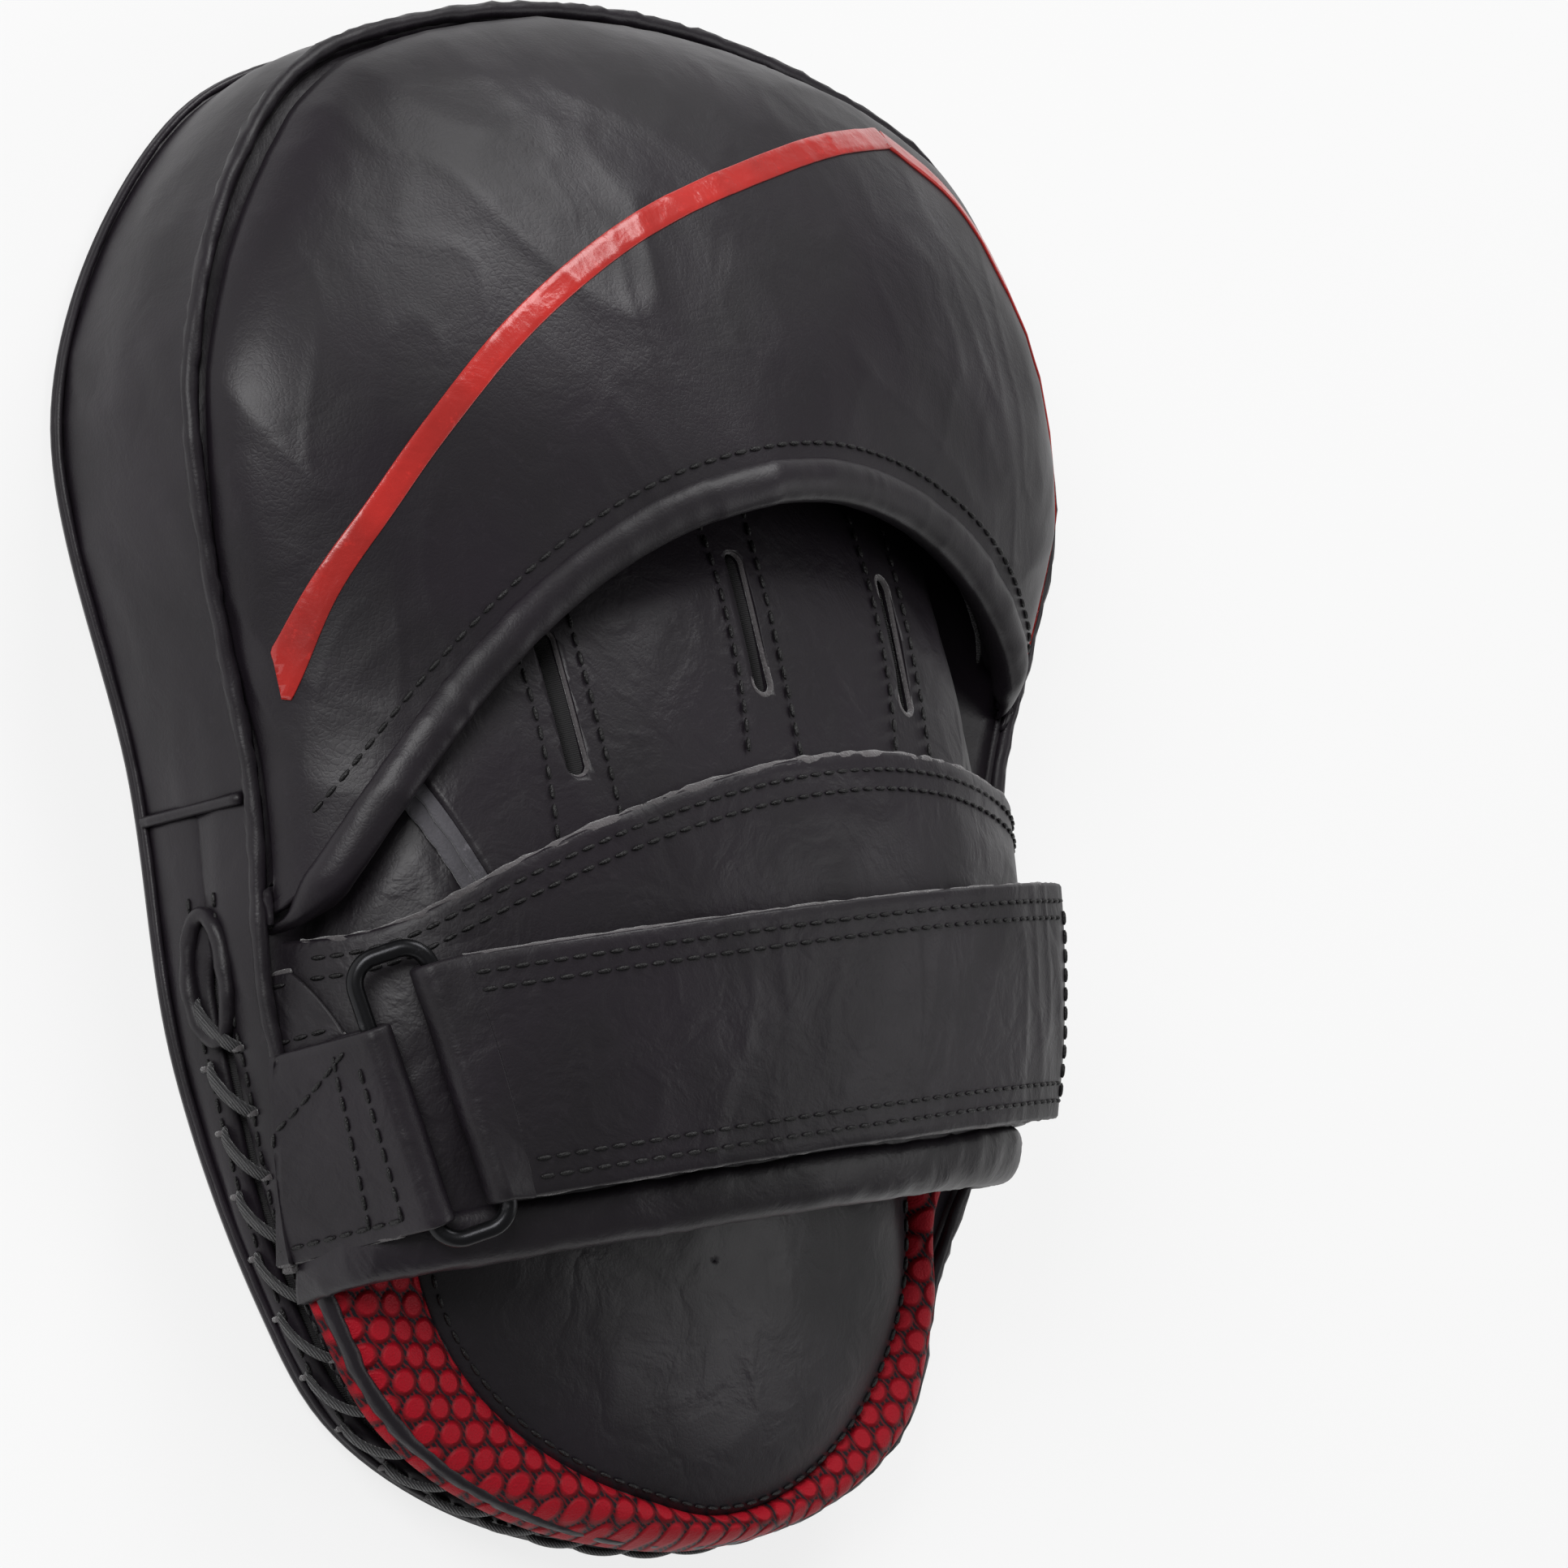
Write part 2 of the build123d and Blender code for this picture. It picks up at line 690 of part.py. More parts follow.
with BuildPart() as ring:
    with BuildLine(ring_plane):
        end = (ring_length - ring_wire) / 2
        corners = ((-bar_x, -end), (bar_x, -end), (bar_x, end), (-bar_x, end))
        wire = FilletPolyline(*corners, radius=ring_corner, close=True)
    with BuildSketch(Plane(origin=wire @ 0, z_dir=wire % 0)):
        Circle(ring_wire / 2)
    sweep(path=wire)
finish(ring, "ring")

bar_room = ring_wire / 2 + ring_play
taper_x = -bar_x - tab_taper
above_taper = ring_plane.from_local_coords(Vector(taper_x, 0, ring_length))
taper_spot = hand_form.find_intersection_points(Axis(above_taper, -ring_normal))[0][0]
taper_z = ring_plane.to_local_coords(taper_spot).Z + clear + tab_thickness

with BuildPart() as ring_tab:
    with BuildSketch(bar_view):
        with BuildLine():
            CenterArc((-bar_x, 0), bar_room + tab_thickness, 0, 360)
            CenterArc((taper_x, taper_z), tab_thickness, 0, 360)
        make_hull()
    extrude(amount=tab_width / 2, both=True)
    add(hand_room, mode=Mode.SUBTRACT)
    with BuildSketch(bar_view):
        with BuildLine():
            CenterArc((-bar_x, 0), bar_room, 0, 360)
            CenterArc((-bar_x - tab_taper / 2, taper_z / 2), ring_play, 0, 360)
        make_hull()
    extrude(amount=tab_width, both=True, mode=Mode.SUBTRACT)

with BuildPart() as tab_layers:
    add(shell(clear, clear + 2 * tab_thickness))
    add(ring_box(-far, taper_x, -tab_width / 2, tab_width / 2), mode=Mode.INTERSECT)
    add(strap_strip(-far, -cuff_start), mode=Mode.SUBTRACT)

with BuildPart() as whole_tab:
    add(ring_tab.part)
    add(cuff_pad.part, mode=Mode.SUBTRACT)
    add(tab_layers.part)
finish(whole_tab, "ring_tab")

with BuildPart() as side_anchor:
    add(shell(clear, clear + tab_thickness))
    anchor_low = tab_width / 2 + clear
    add(ring_box(-far, -bar_x, anchor_low, anchor_low + anchor_width), mode=Mode.INTERSECT)
finish(side_anchor, "side_anchor")

# --- wrist strap -----------------------------------------------------------------------------------
with BuildPart() as strap_fold:
    with BuildSketch(bar_view):
        for mode, radius in ((Mode.ADD, bar_room + strap_thickness), (Mode.SUBTRACT, bar_room)):
            with Locations((bar_x, 0)):
                Circle(radius, mode=mode)
            with Locations((bar_x + fold_leg / 2, 0)):
                Rectangle(fold_leg, 2 * radius, mode=mode)
    extrude(amount=strap_width / 2, both=True)
finish(strap_fold, "strap_fold")

strap_start = bar_x + fold_leg + fold_gap
base_top = clear + strap_thickness
loop_top = base_top + sewn + loop_thickness
hook_top = loop_top + clear + hook_thickness
flap_top = hook_top + sewn + strap_thickness


def strap_layer(low, top, margin, start_x, end_x):
    """Layer over the hand back, margin inside the strap's long edges, from the ring to end_x."""
    with BuildPart() as layer:
        add(shell(low, top))
        add(strap_strip(margin - strap_width / 2, strap_width / 2 - margin), mode=Mode.INTERSECT)
        add(ring_box(start_x, far, -far, far), mode=Mode.INTERSECT)
        add(plan_box(-far, end_x, -far, far), mode=Mode.INTERSECT)
    return layer.part


with BuildPart() as strap_base:
    add(strap_layer(clear, base_top, 0, strap_start, far))
finish(strap_base, "strap_base")

with BuildPart() as loop_patch:
    add(strap_layer(base_top + sewn, loop_top, patch_margin, strap_start + loop_start, flap_end_x))
finish(loop_patch, "loop_patch")

with BuildPart() as hook_patch:
    add(strap_layer(loop_top + clear, hook_top, patch_margin, strap_start + hook_start, flap_end_x - patch_margin))
finish(hook_patch, "hook_patch")

with BuildPart() as strap_flap:
    add(strap_layer(hook_top + sewn, flap_top, 0, strap_start, flap_end_x))
finish(strap_flap, "strap_flap")

hinge_spot = ring_plane.from_local_coords(Vector(strap_start, 0, bar_room + strap_thickness))
left_bar = ring_plane.from_local_coords(Vector(-bar_x, 0, 0))
print("left bar of the ring:", [round(value / 1000, 5) for value in left_bar])
print("left end of the flap:", [round(value / 1000, 5) for value in hinge_spot])
print("along the ring:", [round(value, 5) for value in ring_plane.y_dir])
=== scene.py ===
"""Focus mitt: the visible leather, mesh, lace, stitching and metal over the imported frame.

Every shape is worked out in millimetres from the mitt's own sizes and written to
meshes in metres.  The mitt lies on its striking face, +Y towards the fingertips.
"""
import logging
from dataclasses import dataclass, field
from enum import Enum
from functools import lru_cache
from math import acos, asin, atan2, cos, degrees, hypot, pi, radians, sin, sqrt, tan
from typing import Callable, Optional, Union

import bmesh
import bpy
import numpy
from mathutils import Matrix, Vector, noise


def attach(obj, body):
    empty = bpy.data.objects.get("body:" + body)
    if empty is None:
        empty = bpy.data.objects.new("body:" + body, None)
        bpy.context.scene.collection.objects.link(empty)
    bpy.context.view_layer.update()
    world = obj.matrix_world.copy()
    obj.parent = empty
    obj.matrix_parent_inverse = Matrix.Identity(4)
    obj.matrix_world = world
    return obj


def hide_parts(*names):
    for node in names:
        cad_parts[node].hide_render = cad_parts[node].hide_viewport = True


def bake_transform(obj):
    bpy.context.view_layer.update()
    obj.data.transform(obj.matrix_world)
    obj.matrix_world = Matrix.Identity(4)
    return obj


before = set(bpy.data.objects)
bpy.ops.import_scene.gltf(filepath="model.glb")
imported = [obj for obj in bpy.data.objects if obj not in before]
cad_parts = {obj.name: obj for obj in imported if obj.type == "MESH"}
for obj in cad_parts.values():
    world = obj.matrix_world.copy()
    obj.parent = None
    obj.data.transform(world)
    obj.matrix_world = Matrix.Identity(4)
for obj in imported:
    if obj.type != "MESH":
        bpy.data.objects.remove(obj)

log = logging.getLogger("focus_mitt")
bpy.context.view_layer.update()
MM = 0.001

# --- the mitt's sizes, in millimetres ---
MITT_LENGTH = 268.0
HALF_LENGTH = MITT_LENGTH / 2
TIP_LEAN = 8.0
HEAD_Y = 58.0
OUTLINE_STATIONS = (
    (126.0, 104.0), (110.0, 165.0), (HEAD_Y, 209.0), (-5.0, 181.0),
    (-52.0, 173.0), (-93.0, 149.0), (-113.0, 128.0), (-127.5, 80.0),
)
SEAM_STATIONS = (
    (-146.0, 16.0), (-93.0, 17.5), (-52.0, 26.0), (-5.0, 30.0), (HEAD_Y, 36.0), (110.0, 33.5), (146.0, 31.0),
)
HEEL_TUCK = 3.5
HEEL_TUCK_Y = -80.0
TIP_LIFT = 8.0
HEEL_LIFT = 2.0
FLAT_TIP_Y = 62.0
FLAT_HEEL_Y = -66.0
FACE_LEATHER = 2.5
LEATHER = 2.0

ARCH_X = 1.0
ARCH_Y = -20.0
ARCH_TOP_Z = 70.0
ARCH_HALF_WIDTH = 86.0
ARCH_SIDE_RADIUS = 38.0
ARCH_BASE_Z = 20.0
ARCH_BOW_RADIUS = 185.0
ARCH_RISE = ARCH_TOP_Z - ARCH_BASE_Z
ARCH_SIDE_X = ARCH_HALF_WIDTH - ARCH_SIDE_RADIUS
ARCH_TOP_RADIUS = ((ARCH_SIDE_X ** 2 + ARCH_RISE ** 2 - ARCH_SIDE_RADIUS ** 2)
                   / (2 * (ARCH_RISE - ARCH_SIDE_RADIUS)))
ARCH_SHOULDER = degrees(atan2(ARCH_SIDE_X, ARCH_TOP_RADIUS - ARCH_RISE))
ARCH_AXIS_Z = ARCH_TOP_Z - ARCH_BOW_RADIUS
ARCH_GAP = 1.5
SQUEEZE_TURN = 36.0

STRAP_SLANT = 7.8
STRAP_Y = -53.0
STRAP_WIDTH = 40.0
STRAP_THICKNESS = 2.0
CLEAR = 0.3
RING_SPOT = (-70.0, -63.0)
RING_SLANT = 20.0
RING_WIRE = 3.0
RING_LENGTH = 52.0
RING_WIDTH = 16.0
BAR_X = (RING_WIDTH - RING_WIRE) / 2
BAR_ROOM = RING_WIRE / 2 + 0.2
RING_HEIGHT = CLEAR + STRAP_THICKNESS + BAR_ROOM
STRAP_START = BAR_X + 3.3
LACING_Y = -34.0
LACING_GAP = 3.2

HOOD_CENTRE = (-10.0, 40.0)
HOOD_TOP_Z = 78.0
HOOD_SEAM_Z = 36.0
HOOD_FOOT = 0.985
HOOD_SLOPE = 1.7
HEEL_CENTRE = (5.0, -66.0)
HEEL_TOP_Z = 33.0
HEEL_BALL = 160.0
HEEL_FRONT_Y = -50.0

Surface = Callable[[float, float], Vector]
Place = Callable[[float, float, float], Vector]
Height = Callable[[float], float]
Creases = Callable[[Vector], float]
Setting = Union[float, tuple, bpy.types.NodeSocket]


# --- curves and forms ---
def smooth_step(value: float) -> float:
    """Ease from 0 to 1.

    Args:
        value: any number; it is held between 0 and 1.

    Returns:
        The eased value.
    """
    value = max(0.0, min(1.0, value))
    return value * value * (3 - 2 * value)


class SmoothCurve:
    """Smooth curve through points of any dimension, open or closed, read from 0 to 1."""

    def __init__(self, points: list, closed: bool = False) -> None:
        """Lay the curve through its points and measure it."""
        knots = [Vector(point).to_3d() if len(point) == 2 else Vector(point) for point in points]
        self.knots = knots
        self.closed = closed
        dense: list = []
        spans = len(knots) if closed else len(knots) - 1
        for span in range(spans):
            before, start, end, after = (self._knot(span + step) for step in (-1, 0, 1, 2))
            dense += [self._between(before, start, end, after, step / 24) for step in range(24)]
        dense.append(knots[0] if closed else knots[-1])
        self.dense = dense
        self.runs = [0.0]
        for first, second in zip(dense, dense[1:]):
            self.runs.append(self.runs[-1] + (second - first).length)
        self.length = self.runs[-1]

    def _knot(self, index: int) -> Vector:
        """Knot at an index, wrapped round or carried on past an open end."""
        if self.closed:
            return self.knots[index % len(self.knots)]
        if index < 0:
            return 2 * self.knots[0] - self.knots[1]
        if index >= len(self.knots):
            return 2 * self.knots[-1] - self.knots[-2]
        return self.knots[index]

    @staticmethod
    def _between(before: Vector, start: Vector, end: Vector, after: Vector, share: float) -> Vector:
        """Point on one span of a centripetal curve."""
        gaps = [max(1e-6, sqrt((b - a).length)) for a, b in ((before, start), (start, end), (end, after))]
        t0, t1 = 0.0, gaps[0]
        t2 = t1 + gaps[1]
        t3 = t2 + gaps[2]
        t = t1 + (t2 - t1) * share
        a1 = before * ((t1 - t) / (t1 - t0)) + start * ((t - t0) / (t1 - t0))
        a2 = start * ((t2 - t) / (t2 - t1)) + end * ((t - t1) / (t2 - t1))
        a3 = end * ((t3 - t) / (t3 - t2)) + after * ((t - t2) / (t3 - t2))
        b1 = a1 * ((t2 - t) / (t2 - t0)) + a2 * ((t - t0) / (t2 - t0))
        b2 = a2 * ((t3 - t) / (t3 - t1)) + a3 * ((t - t1) / (t3 - t1))
        return b1 * ((t2 - t) / (t2 - t1)) + b2 * ((t - t1) / (t2 - t1))

    def at(self, share: float) -> Vector:
        """Point at a share of the curve's length.

        Args:
            share: 0 at the start, 1 at the end; a closed curve wraps.

        Returns:
            The point, in millimetres.
        """
        share = share % 1.0 if self.closed else max(0.0, min(1.0, share))
        run = share * self.length
        index = int(numpy.searchsorted(self.runs, run, side="right")) - 1
        index = max(0, min(index, len(self.dense) - 2))
        gap = self.runs[index + 1] - self.runs[index]
        part = (run - self.runs[index]) / gap if gap else 0.0
        return self.dense[index].lerp(self.dense[index + 1], part)

    def along(self, share: float) -> Vector:
        """Unit direction of the curve at a share of its length."""
        return (self.at(share + 0.002) - self.at(share - 0.002)).normalized()


def lean(y: float) -> float:
    """Sideways shift of the outline's middle line at y."""
    return TIP_LEAN * (y ** 2 - HEAD_Y ** 2) / (HALF_LENGTH ** 2 - HEAD_Y ** 2)


def outline_knots() -> list:
    """Points round the outline from the tip, thumb side first."""
    thumb = [(lean(y) - width / 2, y) for y, width in OUTLINE_STATIONS]
    finger = [(lean(y) + width / 2 - (HEEL_TUCK if y < HEEL_TUCK_Y else 0.0), y)
              for y, width in reversed(OUTLINE_STATIONS)]
    return [(lean(HALF_LENGTH), HALF_LENGTH)] + thumb + [(lean(HALF_LENGTH), -HALF_LENGTH)] + finger


OUTLINE = SmoothCurve(outline_knots(), closed=True)


def wall_place(share: float, out: float, height: float) -> Vector:
    """Point on the side wall.

    Args:
        share: place round the outline, 0 at the tip, thumb side first.
        out: distance straight out from the outline.
        height: Z of the point.

    Returns:
        The point, in millimetres.
    """
    run = OUTLINE.along(share)
    spot = OUTLINE.at(share)
    return Vector((spot.x + run.y * out, spot.y - run.x * out, height))


def share_at(y: float, thumb_side: bool) -> float:
    """Share round the outline where it passes y on one side."""
    low, high = (0.0, 0.5) if thumb_side else (1.0, 0.5)
    for _ in range(40):
        middle = (low + high) / 2
        if OUTLINE.at(middle).y > y:
            low = middle
        else:
            high = middle
    return (low + high) / 2


def face_lift(y: float) -> float:
    """Height of the striking face at y: flat in the middle, curled up at both ends."""
    y = max(-HALF_LENGTH, min(HALF_LENGTH, y))
    if y > FLAT_TIP_Y:
        return TIP_LIFT * ((y - FLAT_TIP_Y) / (HALF_LENGTH - FLAT_TIP_Y)) ** 2
    if y < FLAT_HEEL_Y:
        return HEEL_LIFT * ((FLAT_HEEL_Y - y) / (HALF_LENGTH + FLAT_HEEL_Y)) ** 2
    return 0.0


def seam_z(y: float) -> float:
    """Height of the back seam at y."""
    for (low_y, low_z), (high_y, high_z) in zip(SEAM_STATIONS, SEAM_STATIONS[1:]):
        if y <= high_y:
            return low_z + (high_z - low_z) * smooth_step((y - low_y) / (high_y - low_y))
    return SEAM_STATIONS[-1][1]


THUMB_SIDE = [OUTLINE.at(0.5 * (1 - step / 200)) for step in range(201)]


def thumb_edge(y: float) -> float:
    """X of the outline on the thumb side at y."""
    return float(numpy.interp(y, [spot.y for spot in THUMB_SIDE], [spot.x for spot in THUMB_SIDE]))


def arch_place(turn: float, y: float, grow: float) -> Vector:
    """Point on the arched hand space.

    Args:
        turn: direction of the wall's normal across the hand, in degrees; 0 is straight up,
            negative is the thumb side, and past 90 the wall runs straight down.
        y: place along the hand.
        grow: distance out from the hand back's outer surface.

    Returns:
        The point, in millimetres.
    """
    angle = radians(max(-90.0, min(90.0, turn)))
    if abs(turn) <= ARCH_SHOULDER:
        x = (ARCH_TOP_RADIUS + grow) * sin(angle)
        z = ARCH_TOP_Z - ARCH_TOP_RADIUS + (ARCH_TOP_RADIUS + grow) * cos(angle)
    else:
        x = ARCH_SIDE_X * (1 if turn > 0 else -1) + (ARCH_SIDE_RADIUS + grow) * sin(angle)
        z = ARCH_BASE_Z + (ARCH_SIDE_RADIUS + grow) * cos(angle) - max(0.0, abs(turn) - 90) * 0.5
    if turn < -SQUEEZE_TURN:
        narrow = min(1.0, (ARCH_GAP - thumb_edge(y)) / ARCH_HALF_WIDTH)
        x *= 1 - (1 - narrow) * smooth_step((-turn - SQUEEZE_TURN) / (90 - SQUEEZE_TURN))
    reach = z - ARCH_AXIS_Z
    return Vector((ARCH_X + x, y, ARCH_AXIS_Z + sqrt(max(1.0, reach ** 2 - (y - ARCH_Y) ** 2))))


def body_z(x: float, y: float) -> float:
    """Height of the cushion's top and the heel pad's dome at a place in plan."""
    height = seam_z(y)
    if y < HEEL_FRONT_Y:
        out = hypot(x - HEEL_CENTRE[0], y - HEEL_CENTRE[1])
        height = max(height, HEEL_TOP_Z - HEEL_BALL + sqrt(max(0.0, HEEL_BALL ** 2 - out ** 2)))
    return height


def outline_reach(x: float, y: float, centre: tuple) -> float:
    """How far a place in plan lies from a centre, as a share of the way to the outline.

    Args:
        x: of the place.
        y: of the place.
        centre: one of the centres in REACHES.

    Returns:
        0 at the centre and 1 at the outline.
    """
    direction = atan2(y - centre[1], x - centre[0])
    span = REACHES[centre]
    slot = (direction + pi) / (2 * pi) * len(span)
    low = int(slot) % len(span)
    part = slot - int(slot)
    radius = span[low] * (1 - part) + span[(low + 1) % len(span)] * part
    return hypot(x - centre[0], y - centre[1]) / radius


def reach_table(centre: tuple, count: int = 720) -> list:
    """Distance from a centre to the outline in evenly spaced directions.

    Args:
        centre: place in plan inside the outline.
        count: number of directions.

    Returns:
        The distances, in millimetres.
    """
    angles, radii = [], []
    for step in range(1440):
        spot = OUTLINE.at(step / 1440)
        angles.append(atan2(spot.y - centre[1], spot.x - centre[0]))
        radii.append(hypot(spot.x - centre[0], spot.y - centre[1]))
    order = numpy.argsort(angles)
    angles = numpy.array(angles)[order]
    radii = numpy.array(radii)[order]
    wanted = [-pi + 2 * pi * step / count for step in range(count)]
    return list(numpy.interp(wanted, angles, radii, period=2 * pi))


REACHES = {HOOD_CENTRE: reach_table(HOOD_CENTRE)}


def hood_z(x: float, y: float) -> float:
    """Height of the hood's outer surface at a place in plan."""
    share = min(1.0, outline_reach(x, y, HOOD_CENTRE) / HOOD_FOOT)
    turn = acos(share ** (1 / HOOD_SLOPE))
    fall = smooth_step((x + 5) / 70) * 7.0 * smooth_step((70 - y) / 60)
    dome = (HOOD_TOP_Z - HOOD_SEAM_Z - fall) * sin(turn)
    return HOOD_SEAM_Z + dome - (HOOD_SEAM_Z - seam_z(y)) * (1 - sin(turn))


# --- building meshes ---
def lifted(surface: Surface, creases: Creases) -> Place:
    """Turn a smooth surface into one that can be read at any height, creases included.

    Args:
        surface: point in millimetres at u, v from 0 to 1.
        creases: height of the creases at a point.

    Returns:
        A function of u, v and the height above the surface.
    """
    def place(u: float, v: float, lift: float) -> Vector:
        """Point at a height above the surface."""
        step = 0.004
        spot = surface(u, v)
        across = surface(min(1.0, u + step), v) - surface(max(0.0, u - step), v)
        up = surface(u, min(1.0, v + step)) - surface(u, max(0.0, v - step))
        normal = across.cross(up)
        if normal.length < 1e-9:
            return spot + Vector((0, 0, lift))
        return spot + normal.normalized() * (lift + creases(spot))
    return place


def no_creases(spot: Vector) -> float:
    """A flat height, for pieces that are pulled tight."""
    return 0.0


def soft_creases(size: float, height: float, stretch: tuple = (1.0, 1.0, 1.0), seed: float = 0.0) -> Creases:
    """Slack folds of soft leather.

    Args:
        size: width of the folds.
        height: of the folds, peak to middle.
        stretch: how the folds are drawn out along X, Y and Z.
        seed: shifts the pattern.

    Returns:
        Height of the folds at a point.
    """
    def height_at(spot: Vector) -> float:
        """Height of the folds at a point."""
        scaled = Vector((spot.x / stretch[0], spot.y / stretch[1], spot.z / stretch[2])) / size
        scaled += Vector((seed, seed * 1.7, seed * 0.6))
        bend = noise.noise(scaled * 0.5) * 1.3
        ridge = 1 - abs(noise.noise(scaled + Vector((bend, bend, 0)))) * 2.2
        return height * (0.6 * noise.noise(scaled * 0.7) + 0.55 * max(0.0, ridge) ** 2 - 0.25)
    return height_at


def skin(work: bmesh.types.BMesh, rings: list, wrap: bool = False) -> None:
    """Join neighbouring rings of vertices, each closed on itself, with bands of faces.

    Args:
        work: the mesh in hand.
        rings: of as many vertices each.
        wrap: whether the last ring joins the first.
    """
    for first, second in zip(rings, rings[1:] + (rings[:1] if wrap else [])):
        for index in range(len(first)):
            after = (index + 1) % len(first)
            work.faces.new((first[index], first[after], second[after], second[index]))


def to_object(name: str, work: bmesh.types.BMesh, material: bpy.types.Material,
              smooth: bool = True) -> bpy.types.Object:
    """Write a mesh in hand, held in millimetres, to a new object in metres.

    Args:
        name: of the object.
        work: the mesh in hand, which is freed.
        material: of the whole piece.
        smooth: whether its faces shade as one skin.

    Returns:
        The new object.
    """
    bmesh.ops.remove_doubles(work, verts=work.verts, dist=0.005)
    bmesh.ops.scale(work, vec=(MM, MM, MM), verts=work.verts)
    bmesh.ops.recalc_face_normals(work, faces=work.faces)
    mesh = bpy.data.meshes.new(name)
    work.to_mesh(mesh)
    work.free()
    mesh.materials.append(material)
    if smooth:
        mesh.shade_smooth()
    obj = bpy.data.objects.new(name, mesh)
    bpy.context.scene.collection.objects.link(obj)
    return obj


def slab(name: str, place: Place, count: tuple, thickness: float, material: bpy.types.Material,
         wrap: bool = False, round_edge: float = 0.35) -> bpy.types.Object:
    """A sheet of leather or padding: two skins joined by a rounded rim.

    Args:
        name: of the object.
        place: the outer skin, read at u, v and height.
        count: faces along u and v.
        thickness: down from the outer skin.
        material: of the whole sheet.
        wrap: whether u closes on itself.
        round_edge: how far the rim stands out, as a share of the thickness.

    Returns:
        The new object.
    """
    across, up = count
    work = bmesh.new()
    steps = range(across if wrap else across + 1)
    rows = []
    for i in steps:
        u = i / across
        top = [place(u, j / up, 0.0) for j in range(up + 1)]
        under = [place(u, j / up, -thickness) for j in range(up + 1)]
        rim = thickness * round_edge
        low_out = (top[0] - top[1]).normalized() * rim
        high_out = (top[-1] - top[-2]).normalized() * rim
        low_mid = (top[0] + under[0]) / 2 + low_out
        high_mid = (top[-1] + under[-1]) / 2 + high_out
        low_near = top[0].lerp(under[0], 0.15) + low_out * 0.7
        high_near = top[-1].lerp(under[-1], 0.15) + high_out * 0.7
        rows.append(top + [high_near, high_mid] + under[::-1] + [low_mid, low_near])
    verts = [[work.verts.new(spot) for spot in row] for row in rows]
    skin(work, verts, wrap)
    if not wrap:
        for ring in (verts[0], verts[-1]):
            for index in range(up):
                under_index = len(ring) - 3 - index
                work.faces.new((ring[index], ring[index + 1], ring[under_index - 1], ring[under_index]))
            last = up + 1
            work.faces.new((ring[up], ring[last], ring[last + 1], ring[last + 2]))
            work.faces.new((ring[0], ring[-1], ring[-2], ring[-3]))
    return to_object(name, work, material)


def tubes(name: str, paths: list, radius: float, material: bpy.types.Material, sides: int = 10,
          closed: bool = False, flat: float = 1.0, outward: bool = False,
          creases: float = 0.0) -> bpy.types.Object:
    """Round or flattened tubes along lists of points, in one object.

    Args:
        name: of the object.
        paths: for each tube, its points in millimetres.
        radius: across its wide way.
        material: of the tubes.
        sides: round a section.
        closed: whether each path closes on itself.
        flat: thickness as a share of width.
        outward: whether the narrow side faces out from the mitt's middle instead of up.
        creases: height of small puckers along it.

    Returns:
        The new object.
    """
    work = bmesh.new()
    for path in paths:
        count = len(path)
        verts = []
        for index, spot in enumerate(path):
            before = path[index - 1] if closed or index else path[0]
            after = path[(index + 1) % count] if closed or index < count - 1 else path[-1]
            run = (after - before).normalized()
            up = Vector((spot.x, spot.y, 0)).normalized() if outward else Vector((0.02, 0.01, 1))
            wide = run.cross(up).normalized()
            tall = wide.cross(run).normalized()
            row = []
            for side in range(sides):
                turn = 2 * pi * side / sides
                swell = 1 + creases * noise.noise(spot * 0.35 + Vector((0, 0, side * 0.5)))
                point = spot + (wide * cos(turn) + tall * sin(turn) * flat) * radius * swell
                row.append(work.verts.new(point))
            verts.append(row)
        skin(work, verts, closed)
        if not closed:
            work.faces.new(verts[0])
            work.faces.new(verts[-1][::-1])
    return to_object(name, work, material)


def tube(name: str, path: list, radius: float, material: bpy.types.Material,
         **sizes: float) -> bpy.types.Object:
    """One tube along a list of points; see tubes."""
    return tubes(name, [path], radius, material, **sizes)


def stitches(name: str, paths: list, material: bpy.types.Material, pitch: float = 3.4, length: float = 2.5,
             radius: float = 0.42) -> bpy.types.Object:
    """Rows of thread stitches, each a small rounded bead of thread lying on the leather.

    Args:
        name: of the object.
        paths: for each row, a dense list of points on the surface.
        material: of the thread.
        pitch: from one stitch to the next.
        length: of one stitch.
        radius: of the thread.

    Returns:
        The new object.
    """
    work = bmesh.new()
    for path in paths:
        runs = [0.0]
        for first, second in zip(path, path[1:]):
            runs.append(runs[-1] + (second - first).length)
        total = runs[-1]
        for number in range(int(total / pitch)):
            start = number * pitch + (pitch - length) / 2
            ends = []
            for run in (start, start + length):
                index = max(0, min(int(numpy.searchsorted(runs, run)) - 1, len(path) - 2))
                gap = max(1e-6, runs[index + 1] - runs[index])
                ends.append(path[index].lerp(path[index + 1], (run - runs[index]) / gap))
            run = ends[1] - ends[0]
            if run.length < 0.2:
                continue
            side = run.cross(Vector((0.3, 0.2, 1))).normalized()
            tall = side.cross(run).normalized()
            rings = []
            for share, swell in ((0.0, 0.35), (0.2, 0.9), (0.5, 1.0), (0.8, 0.9), (1.0, 0.35)):
                middle = ends[0] + run * share
                rings.append([
                    work.verts.new(middle + (side * cos(turn) + tall * sin(turn)) * radius * swell)
                    for turn in (step * pi / 3 for step in range(6))
                ])
            skin(work, rings)
            work.faces.new(rings[0])
            work.faces.new(rings[-1][::-1])
    return to_object(name, work, material)


